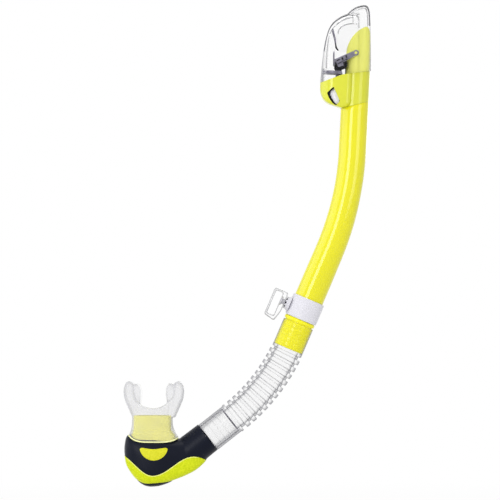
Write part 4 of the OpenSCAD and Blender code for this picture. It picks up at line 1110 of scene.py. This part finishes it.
def loft(name, rows, power, upright=False):
    """A stalk through rows, each level or square to the stalk's direction."""
    rings = []
    fine = spline(rows)
    for k, (x, z, w, d) in enumerate(fine):
        a, b = fine[max(k - 1, 0)], fine[min(k + 1, len(fine) - 1)]
        way = UP if upright else Vector((b[0] - a[0], 0, b[1] - a[1])).normalized()
        across = Vector((way.z, 0, -way.x))
        points = [squircle(t, w, d, power) for t in turns(48)]
        rings.append([Vector((SLEEVE_X + x, y, z)) + across * out for out, y in points])
    return rings_mesh(name, rings, capped=True, at=CHAMBER)


def skirt_lift(x):
    """How far the skirt's lower edge rises at x from its middle, with more at its front end."""
    return (6.0 if x < 0 else 3.6) * (abs(x) / 22.2) ** 4


# The sleeve's top rises towards its ends, and so does its skirt's lower edge
sleeve = loft("sleeve", SLEEVE, 4.0, upright=True)
for v in sleeve.data.vertices:
    q = to_chamber @ v.co
    out = abs(q.x - SLEEVE_X - 0.3)
    lift = max(0.0, q.z - 12) / 13.6 * 4.5 * min(out / 12, 1.5) ** 2
    rim_lift = max(0.0, 3 - q.z) / 7.6 * skirt_lift(q.x - SLEEVE_X - SKIRT_X)
    v.co = from_chamber @ Vector((q.x, q.y, q.z + lift + rim_lift))
grown = [sleeve]
for side, aside in ((-1, 0.8), (1, 1.9)):
    for name, rows, power in (("lobe", LOBE, 2.4), ("bite", BITE, 2.6)):
        grown.append(loft(name, [(side * x + aside, z, w, d) for x, z, w, d in rows], power))
mouthpiece = grow_together(join("mouthpiece_silicone", grown), 8)


def oval(w, d, power=4.0, aside=0.0):
    points = [squircle(t, w, d, power) for t in turns(96)]
    return [(SLEEVE_X + aside + x, y) for x, y in points]


BORE_W, BORE_D, SPIGOT_END, FLANGE_TOP = 15.2, 8.8, 19.6, 3.2
cut(mouthpiece, oval(16.4, 10.0), "z", -FAR, SPIGOT_END, CHAMBER)
cut(mouthpiece, oval(19.4, 11.6, aside=SKIRT_X), "z", -FAR, FLANGE_TOP, CHAMBER)
cut(mouthpiece, oval(BORE_W, BORE_D, power=2.0), "z", 10, 29, CHAMBER)
smooth(drop_folds(clean(mouthpiece, 0.02)), 50)
add_piece(mouthpiece, "chamber", "mouth_silicone", MOUTH, "mouthpiece")
# The bore's walls take the paler copy, painted light that hides their edge shade.
mouthpiece.data.materials.append(MOUTH_BORE)
for face in mouthpiece.data.polygons:
    q = to_chamber @ face.center
    if q.z > SPIGOT_END - 0.4 and hypot((q.x - SLEEVE_X) / BORE_W, q.y / BORE_D) < 1.02:
        face.material_index = 1


def skirt_bead():
    """A round bead along the lower edge of the mouthpiece's skirt."""
    half_w, half_d, low_z, bead_r = 22.0, 14.2, -3.65, 0.65
    edge = [squircle(t, half_w, half_d, 4.0) for t in turns(160)]
    spots = [Vector((SLEEVE_X + SKIRT_X + x, y, low_z + skirt_lift(x))) for x, y in edge]
    rings = []
    for k, spot in enumerate(spots):
        way = (spots[(k + 1) % len(spots)] - spots[k - 1]).normalized()
        across = way.cross(UP).normalized()
        rings.append(section(spot, across, across.cross(way), bead_r))
    return smooth(rings_mesh("skirt_bead", rings, loop=True, at=CHAMBER), 60)


add_piece(skirt_bead(), "chamber", "mouth_silicone", BEAD)


# Spigot: an oval tube on a stepped flange, seen through the mouthpiece

# Rows of [height, half width, half depth, shift of its middle]
SPIGOT_ROWS = [
    (-6, 19.7, 11.8, 0.9), (2.6, 19.9, 12.1, 0.9), (3.2, 19.7, 11.9, 0.8), (3.6, 18.2, 11.2, 0.4),
    (5.6, 17.9, 11.0, 0.2), (6.2, 17.6, 10.9, 0), (6.4, 16.9, 10.5, 0), (18.9, 16.9, 10.5, 0),
    (19.4, 16.7, 10.3, 0), (19.8, 16.3, 9.9, 0), (19.8, 14.5, 8.8, 0), (-6, 14.5, 8.8, 0)]
spigot_rings = [[(x, y, z) for x, y in oval(w, d, aside=aside)] for z, w, d, aside in SPIGOT_ROWS]
spigot = smooth(rings_mesh("oval_spigot", spigot_rings, loop=True, at=CHAMBER), 35)
# The spigot takes the brighter lime, light painted in under the mouthpiece.
add_piece(spigot, "chamber", "lime_trim", LIT_SPIGOT_LIME, "mouth_spigot")


# Materials of the solids that stay

for node, material in {
        "top_joint_ring": RUBBER, "float_guide": GREY, "lever_rest": RUBBER,
        "lever_pins": LIT_RISER_YELLOW, "seal_pad": RUBBER, "float": FLOAT, "float_stem": GREY,
        "clip_stud": WHITE, "purge_seat": WHITE}.items():
    obj = nodes[node]
    obj.data.materials.clear()
    obj.data.materials.append(material)
    obj.data.shade_smooth()
    modifier(obj, "EDGE_SPLIT", split_angle=radians(32))


# Stage, light and camera, in metres

# Room under the part, so that no pose of it reaches the floor
HANG = 0.044
FLOOR_HALF = 6


def open_view(tree):
    """1 for the rays that show the background: from the camera, off a gloss or through glass."""
    camera, gloss, glass = [add_node(tree, "LightPath", name, {})
                            for name in ("Is Camera Ray", "Is Glossy Ray", "Is Transmission Ray")]
    return clamped(tree, "ADD", clamped(tree, "ADD", camera, gloss), glass)


floor_z = cad_box[0][2] - HANG
corners = [(x * FLOOR_HALF, y * FLOOR_HALF, floor_z) for x, y in ((-1, -1), (1, -1), (1, 1), (-1, 1))]
floor = new_object("floor", corners, [(0, 1, 2, 3)], Matrix.Scale(1 / MM, 4))
mat, tree, p = start_material("floor_white")
fill(tree, p, {"Base Color": (0.9, 0.9, 0.9, 1), "Roughness": 0.9, "Specular IOR Level": 0.0})
glow = add_node(tree, "Emission", "Emission", {"Color": (1, 1, 1, 1)})
where = add_node(tree, "TexCoord", "Object", {})
distance = add_node(tree, "VectorMath", "Value", {0: where}, operation="LENGTH")
whiteness = spread(tree, distance, 0.86, 1.0, 0.3, 0.9)
show(tree, blended(tree, clamped(tree, "MULTIPLY", open_view(tree), whiteness), p.outputs["BSDF"], glow))
floor.data.materials.append(mat)

scene.world = bpy.data.worlds.new("studio")
scene.world.use_nodes = True
tree = scene.world.node_tree
strength = spread(tree, open_view(tree), 0.45, 1.0, 0.0, 1.0)
fill(tree, tree.nodes["Background"], {"Color": (1, 1, 1, 1), "Strength": strength})

CENTRE = Vector((-0.02, 0, 0.05))
# Name, place, size and power
for name, place, size, energy in (
        ("key", (-0.9, -2.1, 0.52), (0.8, 1.1), 15.5),
        ("left", (-2.0, -0.2, 0.4), (2.2, 1.3), 13.0),
        ("fill", (1.5, -1.6, 0.5), (1.0, 1.4), 11.0),
        ("back", (0.7, 2.2, 0.8), (1.4, 1.4), 9.0),
        ("top", (-0.1, -0.2, 1.6), (1.2, 1.2), 10.0)):
    light = bpy.data.lights.new(name, "AREA")
    light.shape = "RECTANGLE"
    light.size, light.size_y = size
    light.energy = energy
    lamp = add_object(name, light)
    lamp.location = place
    lamp.rotation_euler = (CENTRE - Vector(place)).to_track_quat("-Z", "Y").to_euler()

VIEW_WIDTH, VIEW_X, VIEW_Z = 0.45, -0.0225, 0.0474
camera = bpy.data.cameras.new("camera")
camera.lens = 300
camera.sensor_width = 36
camera.dof.use_dof = False
camera.clip_end = 50
view = add_object("camera", camera)
view.location = (VIEW_X, -VIEW_WIDTH * camera.lens / camera.sensor_width, VIEW_Z)
view.rotation_euler = (radians(90), 0, 0)
scene.camera = view
scene.view_settings.view_transform = "Standard"
